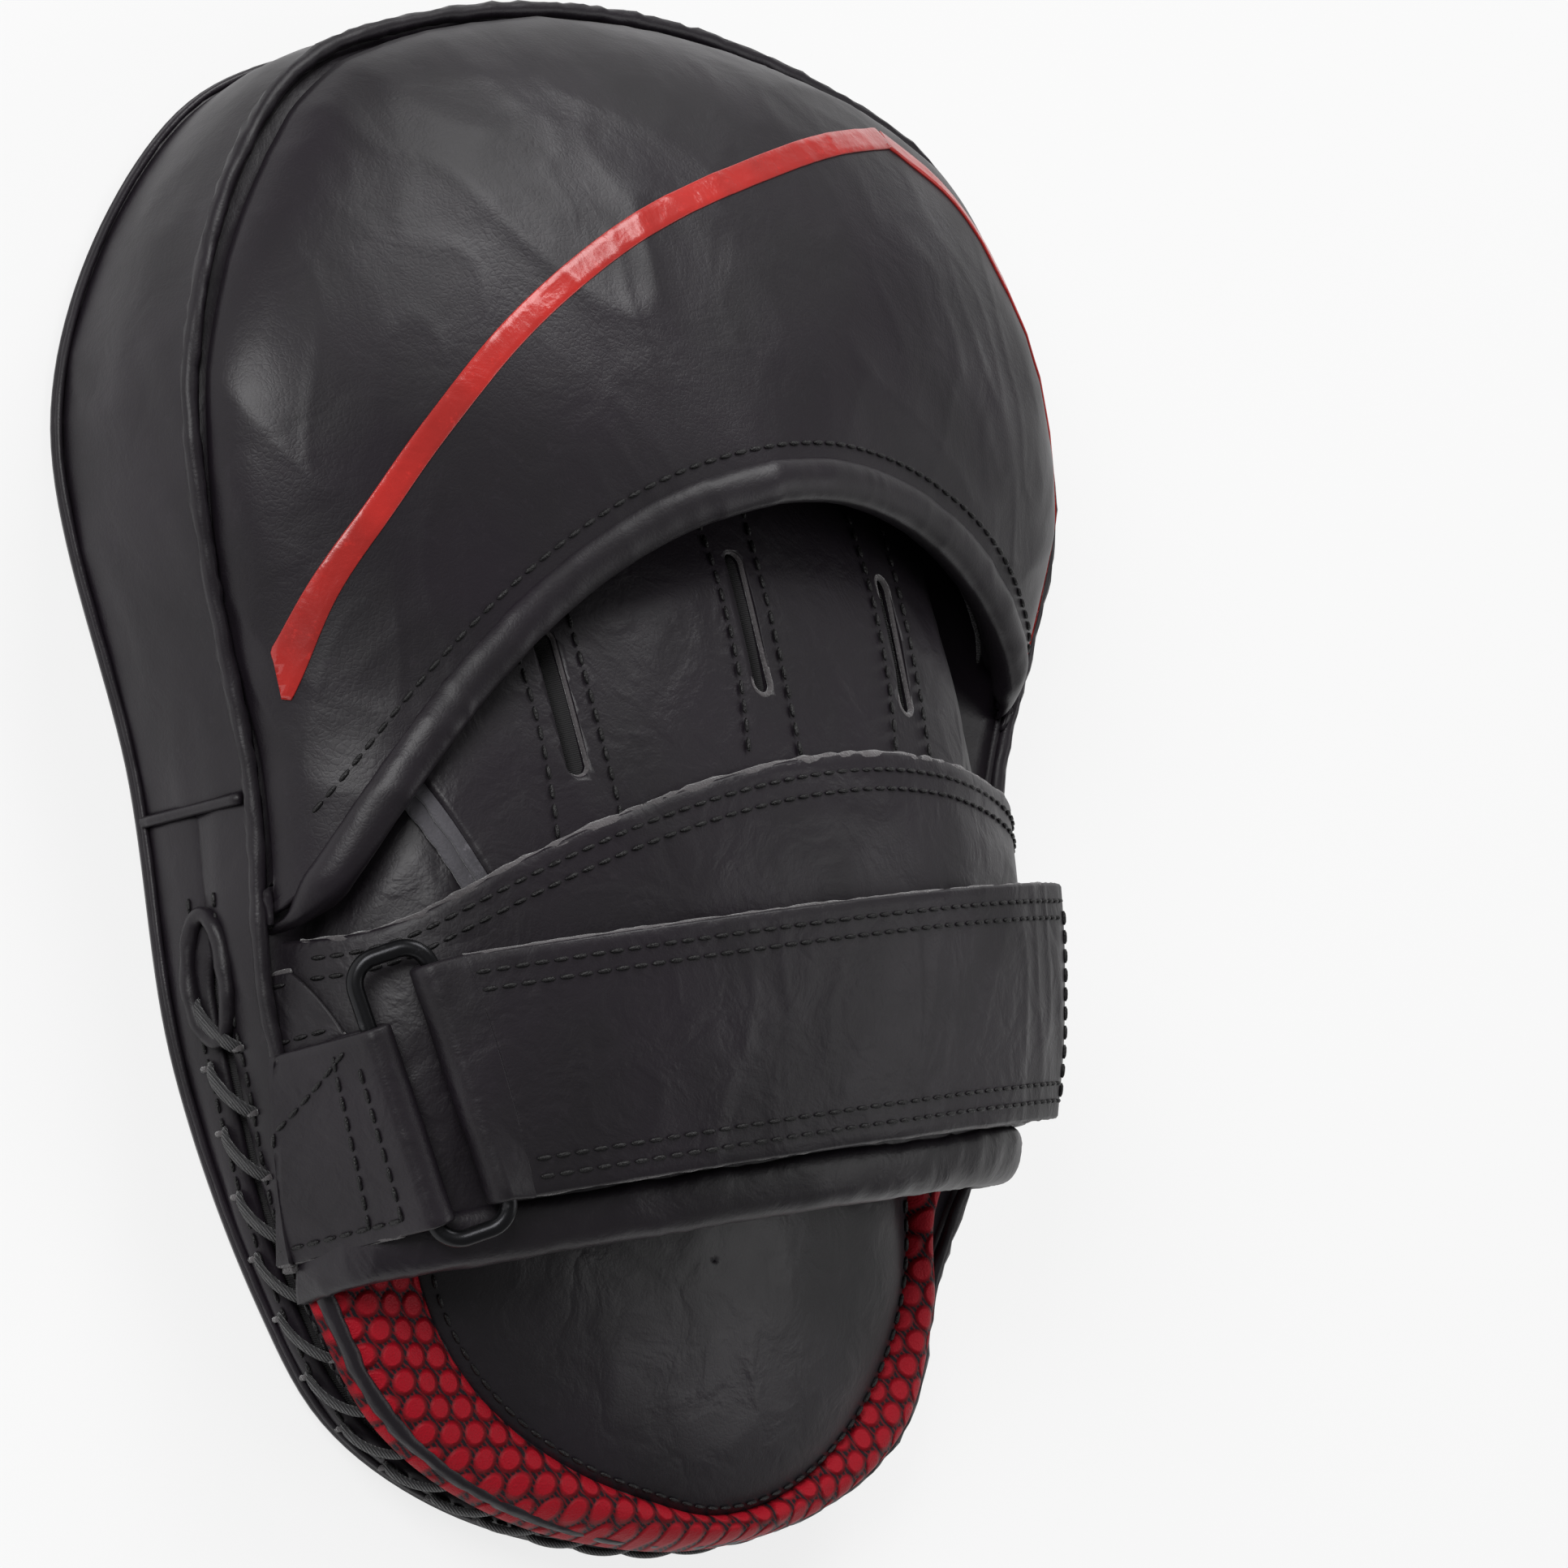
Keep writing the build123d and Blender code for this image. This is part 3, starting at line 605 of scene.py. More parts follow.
# --- finishes ---
class NodeWork:
    """Short-hand for adding and joining shader nodes in one tree."""

    def __init__(self, tree: bpy.types.NodeTree) -> None:
        """Work in one tree."""
        self.tree = tree

    def add(self, kind: str, values: Optional[dict] = None, **settings: str) -> bpy.types.Node:
        """Add a node, set its properties, then its input values or links."""
        node = self.tree.nodes.new(kind)
        for key, value in settings.items():
            setattr(node, key, value)
        return self.feed(node, values or {})

    def feed(self, node: bpy.types.Node, values: dict) -> bpy.types.Node:
        """Link sockets to a node's inputs, or set their values."""
        for key, value in values.items():
            if isinstance(value, bpy.types.NodeSocket):
                self.tree.links.new(value, node.inputs[key])
            else:
                node.inputs[key].default_value = value
        return node

    def math(self, operation: str, *values: Setting) -> bpy.types.NodeSocket:
        """Result of a math node."""
        return self.add("ShaderNodeMath", dict(enumerate(values)), operation=operation).outputs[0]

    def ramp(self, value: bpy.types.NodeSocket, low: float, high: float) -> bpy.types.NodeSocket:
        """A value eased from 0 at low to 1 at high."""
        values = {"Value": value, "From Min": low, "From Max": high}
        return self.add("ShaderNodeMapRange", values, interpolation_type="SMOOTHSTEP").outputs[0]

    def mix(self, share: Setting, first: Setting, second: Setting) -> bpy.types.NodeSocket:
        """Colour mixed between two."""
        return self.add("ShaderNodeMix", {0: share, 6: first, 7: second}, data_type="RGBA").outputs[2]


def new_material(name: str) -> tuple:
    """A new material, its node work and its Principled shader."""
    material = bpy.data.materials.new(name)
    material.use_nodes = True
    return material, NodeWork(material.node_tree), material.node_tree.nodes["Principled BSDF"]


def new_group(name: str, inputs: tuple, outputs: tuple) -> tuple:
    """A node group with float inputs and float outputs.

    Args:
        name: of the group.
        inputs: names and default values.
        outputs: names.

    Returns:
        The group, its work, and its input and output nodes.
    """
    tree = bpy.data.node_groups.new(name, "ShaderNodeTree")
    for label, value in inputs:
        socket = tree.interface.new_socket(name=label, in_out="INPUT", socket_type="NodeSocketFloat")
        socket.default_value = value
    for label in outputs:
        tree.interface.new_socket(name=label, in_out="OUTPUT", socket_type="NodeSocketFloat")
    work = NodeWork(tree)
    return tree, work, work.add("NodeGroupInput"), work.add("NodeGroupOutput")


def leather_group() -> bpy.types.NodeTree:
    """Pebbled grain, slack creases and patches of shine, as heights and a tone."""
    inputs = (("Grain", 1100.0), ("Crease", 90.0))
    tree, work, source, result = new_group("leather_grain", inputs, ("Grain", "Crease", "Tone", "Wear"))
    place = work.add("ShaderNodeTexCoord").outputs["Object"]
    bend = work.add("ShaderNodeTexNoise", {"Vector": place, "Scale": 240.0, "Detail": 2.0})
    warped = work.add("ShaderNodeMix", {0: 0.0025, 4: place, 5: bend.outputs["Color"]}, data_type="VECTOR")
    cells = work.add("ShaderNodeTexVoronoi", {"Vector": warped.outputs[1], "Scale": source.outputs["Grain"]},
                     feature="DISTANCE_TO_EDGE")
    grain = work.ramp(cells.outputs["Distance"], 0.0, 0.22)
    folds = work.add("ShaderNodeTexNoise", {"Vector": place, "Scale": source.outputs["Crease"], "Detail": 4.0,
                                            "Distortion": 0.5, "Roughness": 0.5})
    ridge = work.math("ABSOLUTE", work.math("SUBTRACT", folds.outputs["Fac"], 0.5))
    crease = work.ramp(ridge, 0.0, 0.16)
    patch = work.add("ShaderNodeTexNoise", {"Vector": place, "Scale": 34.0, "Detail": 3.0})
    wear = work.add("ShaderNodeTexNoise", {"Vector": place, "Scale": 420.0, "Detail": 4.0, "Roughness": 0.75})
    work.feed(result, {"Grain": grain, "Crease": crease, "Tone": work.ramp(patch.outputs["Fac"], 0.3, 0.7),
                       "Wear": work.ramp(wear.outputs["Fac"], 0.56, 0.72)})
    return tree


def hex_group() -> bpy.types.NodeTree:
    """Distance from the middle of the nearest cell of a honeycomb, in cells, seen in plan."""
    tree, work, source, result = new_group("honeycomb", (("Pitch", 0.0050),), ("Distance", "Thread"))
    place = work.add("ShaderNodeTexCoord").outputs["Object"]
    sway = work.add("ShaderNodeTexNoise", {"Vector": place, "Scale": 90.0})
    split = work.add("ShaderNodeSeparateXYZ", {"Vector": place})
    pitch = source.outputs["Pitch"]
    swayed = work.math("ADD", split.outputs["X"], work.math("MULTIPLY", sway.outputs["Fac"], 0.0009))
    across = work.math("DIVIDE", swayed, pitch)
    up = work.math("DIVIDE", split.outputs["Y"], work.math("MULTIPLY", pitch, sqrt(3)))
    nearest = []
    for shift in (0.0, 0.5):
        x = work.math("SUBTRACT", work.math("FRACT", work.math("ADD", across, shift)), 0.5)
        y = work.math("SUBTRACT", work.math("FRACT", work.math("ADD", up, shift)), 0.5)
        tall = work.math("MULTIPLY", y, sqrt(3))
        squares = work.math("ADD", work.math("MULTIPLY", x, x), work.math("MULTIPLY", tall, tall))
        nearest.append(work.math("SQRT", squares))
    distance = work.math("MINIMUM", nearest[0], nearest[1])
    waves = work.add("ShaderNodeTexWave", {"Vector": place, "Scale": 420.0, "Distortion": 3.0, "Detail": 1.0},
                     bands_direction="DIAGONAL")
    work.feed(result, {"Distance": distance, "Thread": waves.outputs["Fac"]})
    return tree


@dataclass(frozen=True)
class LeatherFinish:
    """A leather's colour, with a painted sheen at grazing angles, and its shine and relief."""

    name: str
    colour: tuple
    rough: float
    grain: float = 0.05
    crease: float = 0.25
    crease_scale: float = 90.0
    coat: float = 0.0
    fuzz: float = 0.0

    def make(self, group: bpy.types.NodeTree) -> bpy.types.Material:
        """Build the material.

        Args:
            group: the shared leather node group.

        Returns:
            The new material.
        """
        material, work, shader = new_material(self.name)
        relief = work.add("ShaderNodeGroup")
        relief.node_tree = group
        relief.inputs["Crease"].default_value = self.crease_scale
        dark = tuple(channel * 0.55 for channel in self.colour) + (1.0,)
        light = tuple(min(1.0, channel * 1.35 + 0.003) for channel in self.colour) + (1.0,)
        toned = work.mix(relief.outputs["Tone"], dark, tuple(self.colour) + (1.0,))
        worn = work.mix(work.math("MULTIPLY", relief.outputs["Wear"], 0.35 + self.fuzz), toned, light)
        # Painted sheen: the colour is mixed towards the lighter leather tone at grazing angles, a highlight
        # painted into the base colour.
        sheen_at_grazing = work.add("ShaderNodeLayerWeight", {"Blend": 0.35})
        with_painted_sheen = work.mix(work.math("MULTIPLY", sheen_at_grazing.outputs["Facing"], 0.15), worn, light)
        rough = work.math("ADD", work.math("MULTIPLY", relief.outputs["Tone"], -0.12), self.rough + 0.06)
        fold = work.add("ShaderNodeBump", {"Strength": self.crease, "Distance": 0.0012,
                                           "Height": relief.outputs["Crease"]})
        pebble = work.add("ShaderNodeBump", {"Strength": self.grain, "Distance": 0.0006,
                                             "Height": relief.outputs["Grain"], "Normal": fold.outputs[0]})
        work.feed(shader, {"Base Color": with_painted_sheen, "Roughness": rough, "Normal": pebble.outputs["Normal"],
                           "Coat Weight": self.coat, "Coat Roughness": 0.18, "Sheen Weight": self.fuzz,
                           "Specular IOR Level": 0.4})
        return material


@dataclass(frozen=True)
class MeshFinish:
    """Red spacer mesh: honeycomb bumps with black threads between them, painted lighter on the bumps' tops
    and darker in the valleys as light and shade.
    """

    name: str
    valley_shade: tuple = (0.17, 0.003, 0.008, 1.0)
    bump: tuple = (0.44, 0.006, 0.018, 1.0)
    thread: tuple = (0.012, 0.008, 0.012, 1.0)
    rough: float = 0.55

    def make(self, group: bpy.types.NodeTree) -> bpy.types.Material:
        """Build the material.

        Args:
            group: the honeycomb node group.

        Returns:
            The new material.
        """
        material, work, shader = new_material(self.name)
        cells = work.add("ShaderNodeGroup")
        cells.node_tree = group
        bump = work.ramp(cells.outputs["Distance"], 0.50, 0.30)
        between = work.ramp(cells.outputs["Distance"], 0.42, 0.49)
        thread = work.math("MULTIPLY", between, work.ramp(cells.outputs["Thread"], 0.1, 0.5))
        # Painted light and shade: the bump tops are lighter red and the valleys darker red, following the
        # same height that drives the bumps; the black threads are the mesh's own colour.
        colour = work.mix(thread, work.mix(bump, self.valley_shade, self.bump), self.thread)
        place = work.add("ShaderNodeTexCoord").outputs["Object"]
        weave = work.add("ShaderNodeTexNoise", {"Vector": place, "Scale": 2600.0, "Detail": 2.0})
        height = work.math("ADD", bump, work.math("MULTIPLY", weave.outputs["Fac"], 0.25))
        relief = work.add("ShaderNodeBump", {"Strength": 0.9, "Distance": 0.0009, "Height": height})
        work.feed(shader, {"Base Color": colour, "Normal": relief.outputs["Normal"], "Roughness": self.rough,
                           "Specular IOR Level": 0.2})
        return material


@dataclass(frozen=True)
class RibbedFinish:
    """Knitted or braided fabric with ribs, the grooves between the ribs painted darker as shade."""

    name: str
    colour: tuple
    scale: float
    direction: str
    rough: float = 0.8

    def make(self) -> bpy.types.Material:
        """Build the material.

        Returns:
            The new material.
        """
        material, work, shader = new_material(self.name)
        place = work.add("ShaderNodeTexCoord").outputs["Object"]
        ribs = work.add("ShaderNodeTexWave", bands_direction=self.direction,
                        values={"Vector": place, "Scale": self.scale, "Distortion": 1.2, "Detail": 2.0})
        fluff = work.add("ShaderNodeTexNoise", {"Vector": place, "Scale": 1800.0, "Detail": 3.0})
        # Painted shade: the grooves between the ribs are darker, following the same wave that gives the ribs
        # their height.
        dark = tuple(channel * 0.35 for channel in self.colour) + (1.0,)
        toned = work.mix(ribs.outputs["Fac"], dark, self.colour + (1.0,))
        height = work.math("ADD", ribs.outputs["Fac"], work.math("MULTIPLY", fluff.outputs["Fac"], 0.4))
        relief = work.add("ShaderNodeBump", {"Strength": 0.6, "Distance": 0.0006, "Height": height})
        work.feed(shader, {"Base Color": toned, "Normal": relief.outputs["Normal"], "Roughness": self.rough,
                           "Sheen Weight": 0.25})
        return material


@dataclass(frozen=True)
class WireFinish:
    """Satin black coated wire, rubbed a little brighter in places."""

    name: str
    coated: tuple = (0.018, 0.018, 0.02, 1.0)
    rubbed: tuple = (0.07, 0.07, 0.075, 1.0)
    rough: float = 0.3

    def make(self) -> bpy.types.Material:
        """Build the material.

        Returns:
            The new material.
        """
        material, work, shader = new_material(self.name)
        place = work.add("ShaderNodeTexCoord").outputs["Object"]
        noise_node = work.add("ShaderNodeTexNoise", {"Vector": place, "Scale": 260.0, "Detail": 5.0,
                                                     "Roughness": 0.7})
        rub = noise_node.outputs["Fac"]
        worn = work.ramp(rub, 0.55, 0.72)
        relief = work.add("ShaderNodeBump", {"Strength": 0.12, "Distance": 0.0004, "Height": rub})
        rough = work.math("ADD", work.math("MULTIPLY", worn, 0.15), self.rough)
        work.feed(shader, {"Base Color": work.mix(worn, self.coated, self.rubbed), "Roughness": rough,
                           "Normal": relief.outputs["Normal"], "Metallic": 0.75})
        return material


class Finishes:
    """Every material of the mitt, made once."""

    def __init__(self) -> None:
        """Make the shared node groups, then each material."""
        grain = leather_group()
        black = (0.0165, 0.0125, 0.0175)
        self.hood, self.wall, self.back, self.strap, self.face = (
            LeatherFinish(f"{part}_leather", black, rough, crease=crease, crease_scale=scale).make(grain)
            for part, rough, crease, scale in (
                ("hood", 0.42, 0.05, 60.0), ("wall", 0.42, 0.06, 70.0), ("back", 0.44, 0.10, 90.0),
                ("strap", 0.46, 0.10, 110.0), ("face", 0.40, 0.05, 40.0)))
        self.suede = LeatherFinish("grey_suede", (0.13, 0.125, 0.14), 0.9, grain=0.2, crease=0.2,
                                   fuzz=0.5).make(grain)
        self.edge = LeatherFinish("raw_edge", (0.11, 0.10, 0.105), 0.85, grain=0.3, crease=0.2,
                                  fuzz=0.4).make(grain)
        self.red = LeatherFinish("red_print", (0.60, 0.028, 0.022), 0.26, grain=0.03, crease=0.12,
                                 coat=0.5).make(grain)
        self.thread = LeatherFinish("black_thread", (0.012, 0.011, 0.012), 0.5, grain=0.3,
                                    crease=0.1).make(grain)
        self.mesh = MeshFinish("red_mesh").make(hex_group())
        self.knit = RibbedFinish("rib_knit", (0.055, 0.052, 0.06), 330.0, "X").make()
        self.lining = RibbedFinish("lining_cloth", (0.035, 0.033, 0.036), 900.0, "Y").make()
        self.patch = RibbedFinish("hook_and_loop", (0.02, 0.02, 0.022), 1400.0, "Z", rough=0.95).make()
        self.braid = RibbedFinish("braided_lace", (0.022, 0.021, 0.024), 900.0, "DIAGONAL", rough=0.6).make()
        self.metal = WireFinish("black_wire").make()


# --- the pieces and what they move with ---
class Slot(Enum):
    """Names of finish slots."""

    LEATHER = "black_leather"
    FACE = "face_leather"
    SUEDE = "grey_suede"
    MESH = "red_mesh"
    LINING = "lining"
    KNIT = "rib_knit"
    PATCH = "hook_and_loop"
    LACE = "lace_cord"
    WIRE = "ring_metal"


class Body(Enum):
    """Bodies that a piece can move with."""

    MITT = "mitt"
    RING = "ring"
    FLAP = "strap_flap"


@dataclass
class SubAssembly:
    """Pieces that are made together, and the finishes that dress them."""

    finish: Finishes
    pieces: list = field(default_factory=list)

    def keep(self, obj: bpy.types.Object, slot: Slot = Slot.LEATHER, nodes: tuple = (),
             body: Body = Body.MITT) -> bpy.types.Object:
        """Attach a piece to the body it moves with, hide the CAD nodes that it stands for, and remember it.

        Args:
            obj: the piece.
            slot: not used.
            nodes: CAD nodes that the piece stands for.
            body: the body that it moves with.

        Returns:
            The same piece.
        """
        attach(obj, body.value)
        if nodes:
            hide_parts(*nodes)
        return self.note(obj)

    def note(self, obj: bpy.types.Object) -> bpy.types.Object:
        """Remember and report a piece."""
        self.pieces.append(obj)
        log.info("%s: %s", type(self).__name__, obj.name)
        return obj

    def sew(self, name: str, paths: list, body: Body = Body.MITT) -> bpy.types.Object:
        """Add rows of stitches."""
        return self.keep(stitches(name, paths, self.finish.thread), body=body)


def row_along(place: Place, v: float, lift: float = 0.15, low: float = 0.0, high: float = 1.0,
              count: int = 160) -> list:
    """Dense points along u at one v, just above a surface."""
    return [place(low + (high - low) * step / count, v, lift) for step in range(count + 1)]


def row_across(place: Place, u: float, lift: float = 0.15, low: float = 0.0, high: float = 1.0,
               count: int = 60) -> list:
    """Dense points along v at one u, just above a surface."""
    return [place(u, low + (high - low) * step / count, lift) for step in range(count + 1)]


# --- cushion: face, palm side, walls and welts ---
def wall_middle(y: float) -> float:
    """Height half way up the side wall at y."""
    return (face_lift(y) + FACE_LEATHER + seam_z(y) - LEATHER) / 2


def wall_surface(first: float, last: float, low: Height, high: Height, swell: float) -> Surface:
    """Band of side wall between two places round the outline and two heights.

    Args:
        first: share round the outline where it starts.
        last: share round the outline where it ends.
        low: height of its lower edge at y.
        high: height of its upper edge at y.
        swell: how far its middle stands out.

    Returns:
        The band, read at u round the outline and v upwards.
    """
    def surface(u: float, v: float) -> Vector:
        """Point of the band."""
        share = first + (last - first) * u
        y = OUTLINE.at(share).y
        z = low(y) + (high(y) - low(y)) * v
        return wall_place(share, -0.2 + swell * sin(pi * v), z)
    return surface


@dataclass
class Cushion(SubAssembly):
    """Striking face, palm side, side walls, their welts and the tongue behind the lacing."""

    steps_round: int = 240
    face_roll: tuple = ((0.6, 2.6), (1.2, 1.6), (0.6, 0.5), (-1.2, 0.0))
    face_rings: int = 12
    face_inset: float = 0.97
    face_depth: float = 0.4
    palm_rings: int = 15
    palm_reach: float = 0.992
    palm_centre_y: float = -20.0
    palm_sink: float = 0.6
    palm_depth: float = 3.0
    joint_y: float = -12.0
    joint_ends: tuple = (3.0, 2.0)
    joint_welt: float = 1.0
    wall_ends: tuple = (2.2, 0.3)
    head_swell: float = 1.3
    heel_swell: float = 0.9
    tongue_lap: float = 2.0
    tongue_depth: float = 2.2
    tongue_thickness: float = 1.2
    back_welt: float = 1.5
    face_welt: float = 0.7
    welt_steps: int = 360

    def build(self) -> None:
        """Make every piece of the cushion."""
        self.striking_face()
        self.palm_side()
        self.walls()
        self.joint_welts()
        self.seam_welts()

    def striking_face(self) -> None:
        """Face leather: a rolled rim, then rings that close in on the middle."""
        count = self.steps_round
        rings = []
        for out, rise in self.face_roll:
            edge = [wall_place(step / count, out, 0) for step in range(count)]
            rings.append([Vector((spot.x, spot.y, face_lift(spot.y) + rise)) for spot in edge])
        for level in range(1, self.face_rings + 1):
            size = 1 - level / (self.face_rings + 0.5)
            flat = [wall_place(step / count, out, 0) * size for step in range(count)]
            rings.append([Vector((spot.x, spot.y, face_lift(spot.y))) for spot in flat])
        work = bmesh.new()
        verts = [[work.verts.new(spot) for spot in ring] for ring in rings]
        skin(work, verts)
        work.faces.new(verts[-1])
        inset = Vector((self.face_inset, self.face_inset, 1.0))
        lid = [work.verts.new(vert.co * inset + Vector((0, 0, self.face_depth))) for vert in verts[0]]
        skin(work, [verts[0], lid])
        work.faces.new(lid)
        face = self.keep(to_object("striking_face", work, self.finish.face), Slot.FACE, ("strike_face",))

    def palm_side(self) -> None:
        """Closed leather under the hand, over the palm ball and the foam layers."""
        count, centre = self.steps_round, self.palm_centre_y
        work = bmesh.new()
        rings = []
        for number in range(self.palm_rings):
            size = self.palm_reach * (1 - number / self.palm_rings)
            ring = []
            for step in range(count):
                edge = OUTLINE.at(step / count)
                spot = Vector((edge.x * size, centre + (edge.y - centre) * size, 0))
                spot.z = body_z(spot.x, spot.y) - self.palm_sink
                ring.append(work.verts.new(spot))
            rings.append(ring)
        skin(work, rings)
        work.faces.new(rings[-1])
        under = [work.verts.new(vert.co - Vector((0, 0, self.palm_depth))) for vert in rings[0]]
        skin(work, [under, rings[0]])
        work.faces.new(under)
        palm = to_object("palm_side", work, self.finish.wall)
        self.keep(palm, nodes=("palm_panel", "palm_ball", "firm_foam", "soft_foam", "palm_foam"))

    def joint_shares(self) -> tuple:
        """Shares round the outline where the two wall panels meet, thumb side first."""
        return share_at(self.joint_y, True), share_at(self.joint_y, False)

    def wall_bottom(self, y: float) -> float:
        """Height of the wall's lower edge at y."""
        return face_lift(y) + self.wall_ends[0]

    def wall_top(self, y: float) -> float:
        """Height of the wall's upper edge at y."""
        return seam_z(y) - self.wall_ends[1]

    @staticmethod
    def lip(side: int, lap: float = 0.0) -> Height:
        """Height of the laced opening's lower (-1) or upper (1) lip, lapped by some."""
        def height(y: float) -> float:
            """Height of the lip at y."""
            half = 0.15 + LACING_GAP / 2 * smooth_step((LACING_Y - y) / 8)
            return wall_middle(y) + side * (half + lap)
        return height

    def walls(self) -> None:
        """Head wall, and the heel wall as two lips with the tongue behind their opening."""
        leather = self.finish.wall
        slack = soft_creases(26.0, 0.7, (1.0, 1.4, 0.6), seed=3.0)
        thumb, finger = self.joint_shares()
        low, high = self.wall_bottom, self.wall_top
        head = lifted(wall_surface(finger - 1, thumb, low, high, self.head_swell), slack)
        head_wall = slab("head_wall_leather", head, (220, 14), LEATHER, leather)
        self.keep(head_wall, nodes=("head_wall",))
        upper = lifted(wall_surface(thumb, finger, self.lip(1), high, self.heel_swell), slack)
        lower = lifted(wall_surface(thumb, finger, low, self.lip(-1), self.heel_swell), slack)
        for name, lip, nodes in (("heel_wall_upper", upper, ("heel_wall",)), ("heel_wall_lower", lower, ())):
            self.keep(slab(name, lip, (200, 9), LEATHER, leather, round_edge=0.5), nodes=nodes)
        self.tongue()
        rows = [row_along(lip, v, 0.2, 0.04, 0.96, 400) for lip, v in ((upper, 0.25), (lower, 0.75))]
        self.sew("lacing_edge_stitches", rows)

    def tongue(self) -> None:
        """Leather tongue set back behind the laced opening."""
        thumb, finger = self.joint_shares()
        low, high = self.lip(-1, self.tongue_lap), self.lip(1, self.tongue_lap)
        flush = lifted(wall_surface(thumb, finger, low, high, 0.0), no_creases)

        def behind(u: float, v: float, lift: float) -> Vector:
            """Point of the tongue, set back from the wall."""
            return flush(u, v, lift) + (flush(u, v, 0) - flush(u, v, 1)) * self.tongue_depth

        piece = slab("lacing_tongue_leather", behind, (160, 3), self.tongue_thickness, self.finish.lining)
        self.keep(piece, nodes=("lacing_tongue",))

    def joint_welts(self) -> None:
        """Upright welts where the head wall meets the heel wall."""
        low = face_lift(self.joint_y) + self.joint_ends[0]
        high = seam_z(self.joint_y) - self.joint_ends[1]
        joints = [[wall_place(share, 1.0, z) for z in numpy.linspace(low, high, 12)]
                  for share in self.joint_shares()]
        self.keep(tubes("wall_joint_welts", joints, self.joint_welt, self.finish.wall))

    def seam_welts(self) -> None:
        """Rolled welt round the back seam, and the thin one round the striking face."""
        shares = [step / self.welt_steps for step in range(self.welt_steps)]
        back = [wall_place(share, 0.4, seam_z(OUTLINE.at(share).y) + 0.1) for share in shares]
        welt = tube("back_seam_welt", back, self.back_welt, self.finish.wall, closed=True, creases=0.35)
        self.keep(welt, nodes=("seam_welt",))
        rim = [wall_place(share, 0.5, face_lift(OUTLINE.at(share).y) + 2.6) for share in shares]
        self.keep(tube("face_seam_welt", rim, self.face_welt, self.finish.face, closed=True, creases=0.2))


@dataclass
class Lacing(SubAssembly):
    """Flat lace that spirals through slits in both edges of the opening."""

    turns: int = 26
    start_drop: float = 8.0
    lace_radius: float = 1.5
    lace_flat: float = 0.45
    reach: float = 4.0
    stand: float = 0.2
    bulge: float = 2.0
    slit_height: float = 4.3
    slit_half: float = 1.1
    slit_radius: float = 0.55
    pocket_drop: float = 6.0
    pocket_half: tuple = (10.5, 4.6)
    pocket_radius: float = 1.5

    def build(self) -> None:
        """Make the lace, its slits and the rolled pocket at each end of the opening."""
        rolls = tubes("lacing_pocket_roll", [self.pocket(True), self.pocket(False)], self.pocket_radius,
                      self.finish.wall, closed=True, outward=True, creases=0.3)
        self.keep(rolls)
        first = share_at(LACING_Y - self.start_drop, True)
        last = share_at(LACING_Y - self.start_drop, False)
        crossings, slits = [], []
        for turn in range(self.turns):
            low, high = (first + (last - first) * (turn + part) / self.turns for part in (0.15, 0.95))
            crossings.append(self.crossing(low, high))
            slits += [self.slit(low, -self.slit_height), self.slit(high, self.slit_height)]
        lace = tubes("heel_lace", crossings, self.lace_radius, self.finish.braid, flat=self.lace_flat,
                     outward=True)
        self.keep(lace, Slot.LACE, ("lace",))
        self.keep(tubes("lace_slits", slits, self.slit_radius, self.finish.edge), Slot.SUEDE)

    def crossing(self, low: float, high: float, count: int = 12) -> list:
        """One turn of the lace over the opening.

        Args:
            low: share round the outline at its lower slit.
            high: share round the outline at its upper slit.
            count: spans along it.

        Returns:
            Its points.
        """
        path = []
        for step in range(count + 1):
            part = step / count
            share = low + (high - low) * part
            height = wall_middle(OUTLINE.at(share).y) + (-self.reach + 2 * self.reach * part)
            path.append(wall_place(share, self.stand + self.bulge * sin(pi * part) ** 0.6, height))
        return path

    def slit(self, share: float, height: float) -> list:
        """Raw edge of one slit, upright on the wall."""
        middle, half = wall_middle(OUTLINE.at(share).y), self.slit_half
        return [wall_place(share, 0.75, middle + height + rise) for rise in (-half, 0.0, half)]

    def pocket(self, thumb_side: bool, count: int = 48) -> list:
        """Oval roll of leather where the lacing starts.

        Args:
            thumb_side: which end of the opening.
            count: points round it.

        Returns:
            Its points.
        """
        start = share_at(LACING_Y - self.pocket_drop, thumb_side)
        sign = 1 if thumb_side else -1
        path = []
        for step in range(count):
            angle = 2 * pi * step / count
            share = start + sign * self.pocket_half[0] * cos(angle) / OUTLINE.length
            height = wall_middle(OUTLINE.at(share).y) + self.pocket_half[1] * sin(angle)
            path.append(wall_place(share, 1.0, height))
        return path


# --- places over the hand ---
def arch_turn_at(x: float, grow: float) -> float:
    """Turn at which the arch's wall, grown, stands at x."""
    out = x - ARCH_X
    if abs(out) <= (ARCH_TOP_RADIUS + grow) * sin(radians(ARCH_SHOULDER)):
        return degrees(asin(out / (ARCH_TOP_RADIUS + grow)))
    reach = (abs(out) - ARCH_SIDE_X) / (ARCH_SIDE_RADIUS + grow)
    return degrees(asin(max(-1.0, min(1.0, reach)))) * (1 if out > 0 else -1)


@lru_cache(maxsize=None)
def seat_turn(y: float, side: int) -> float:
    """Turn at which the arch's wall comes down to the back seam.

    Args:
        y: place along the hand.
        side: -1 for the thumb side, 1 for the little finger's.

    Returns:
        The turn, in degrees.
    """
    low, high = 40.0, 96.0
    for _ in range(20):
        turn = (low + high) / 2
        if arch_place(side * turn, y, 0.0).z > seam_z(y) - 1.5:
            low = turn
        else:
            high = turn
    return side * low


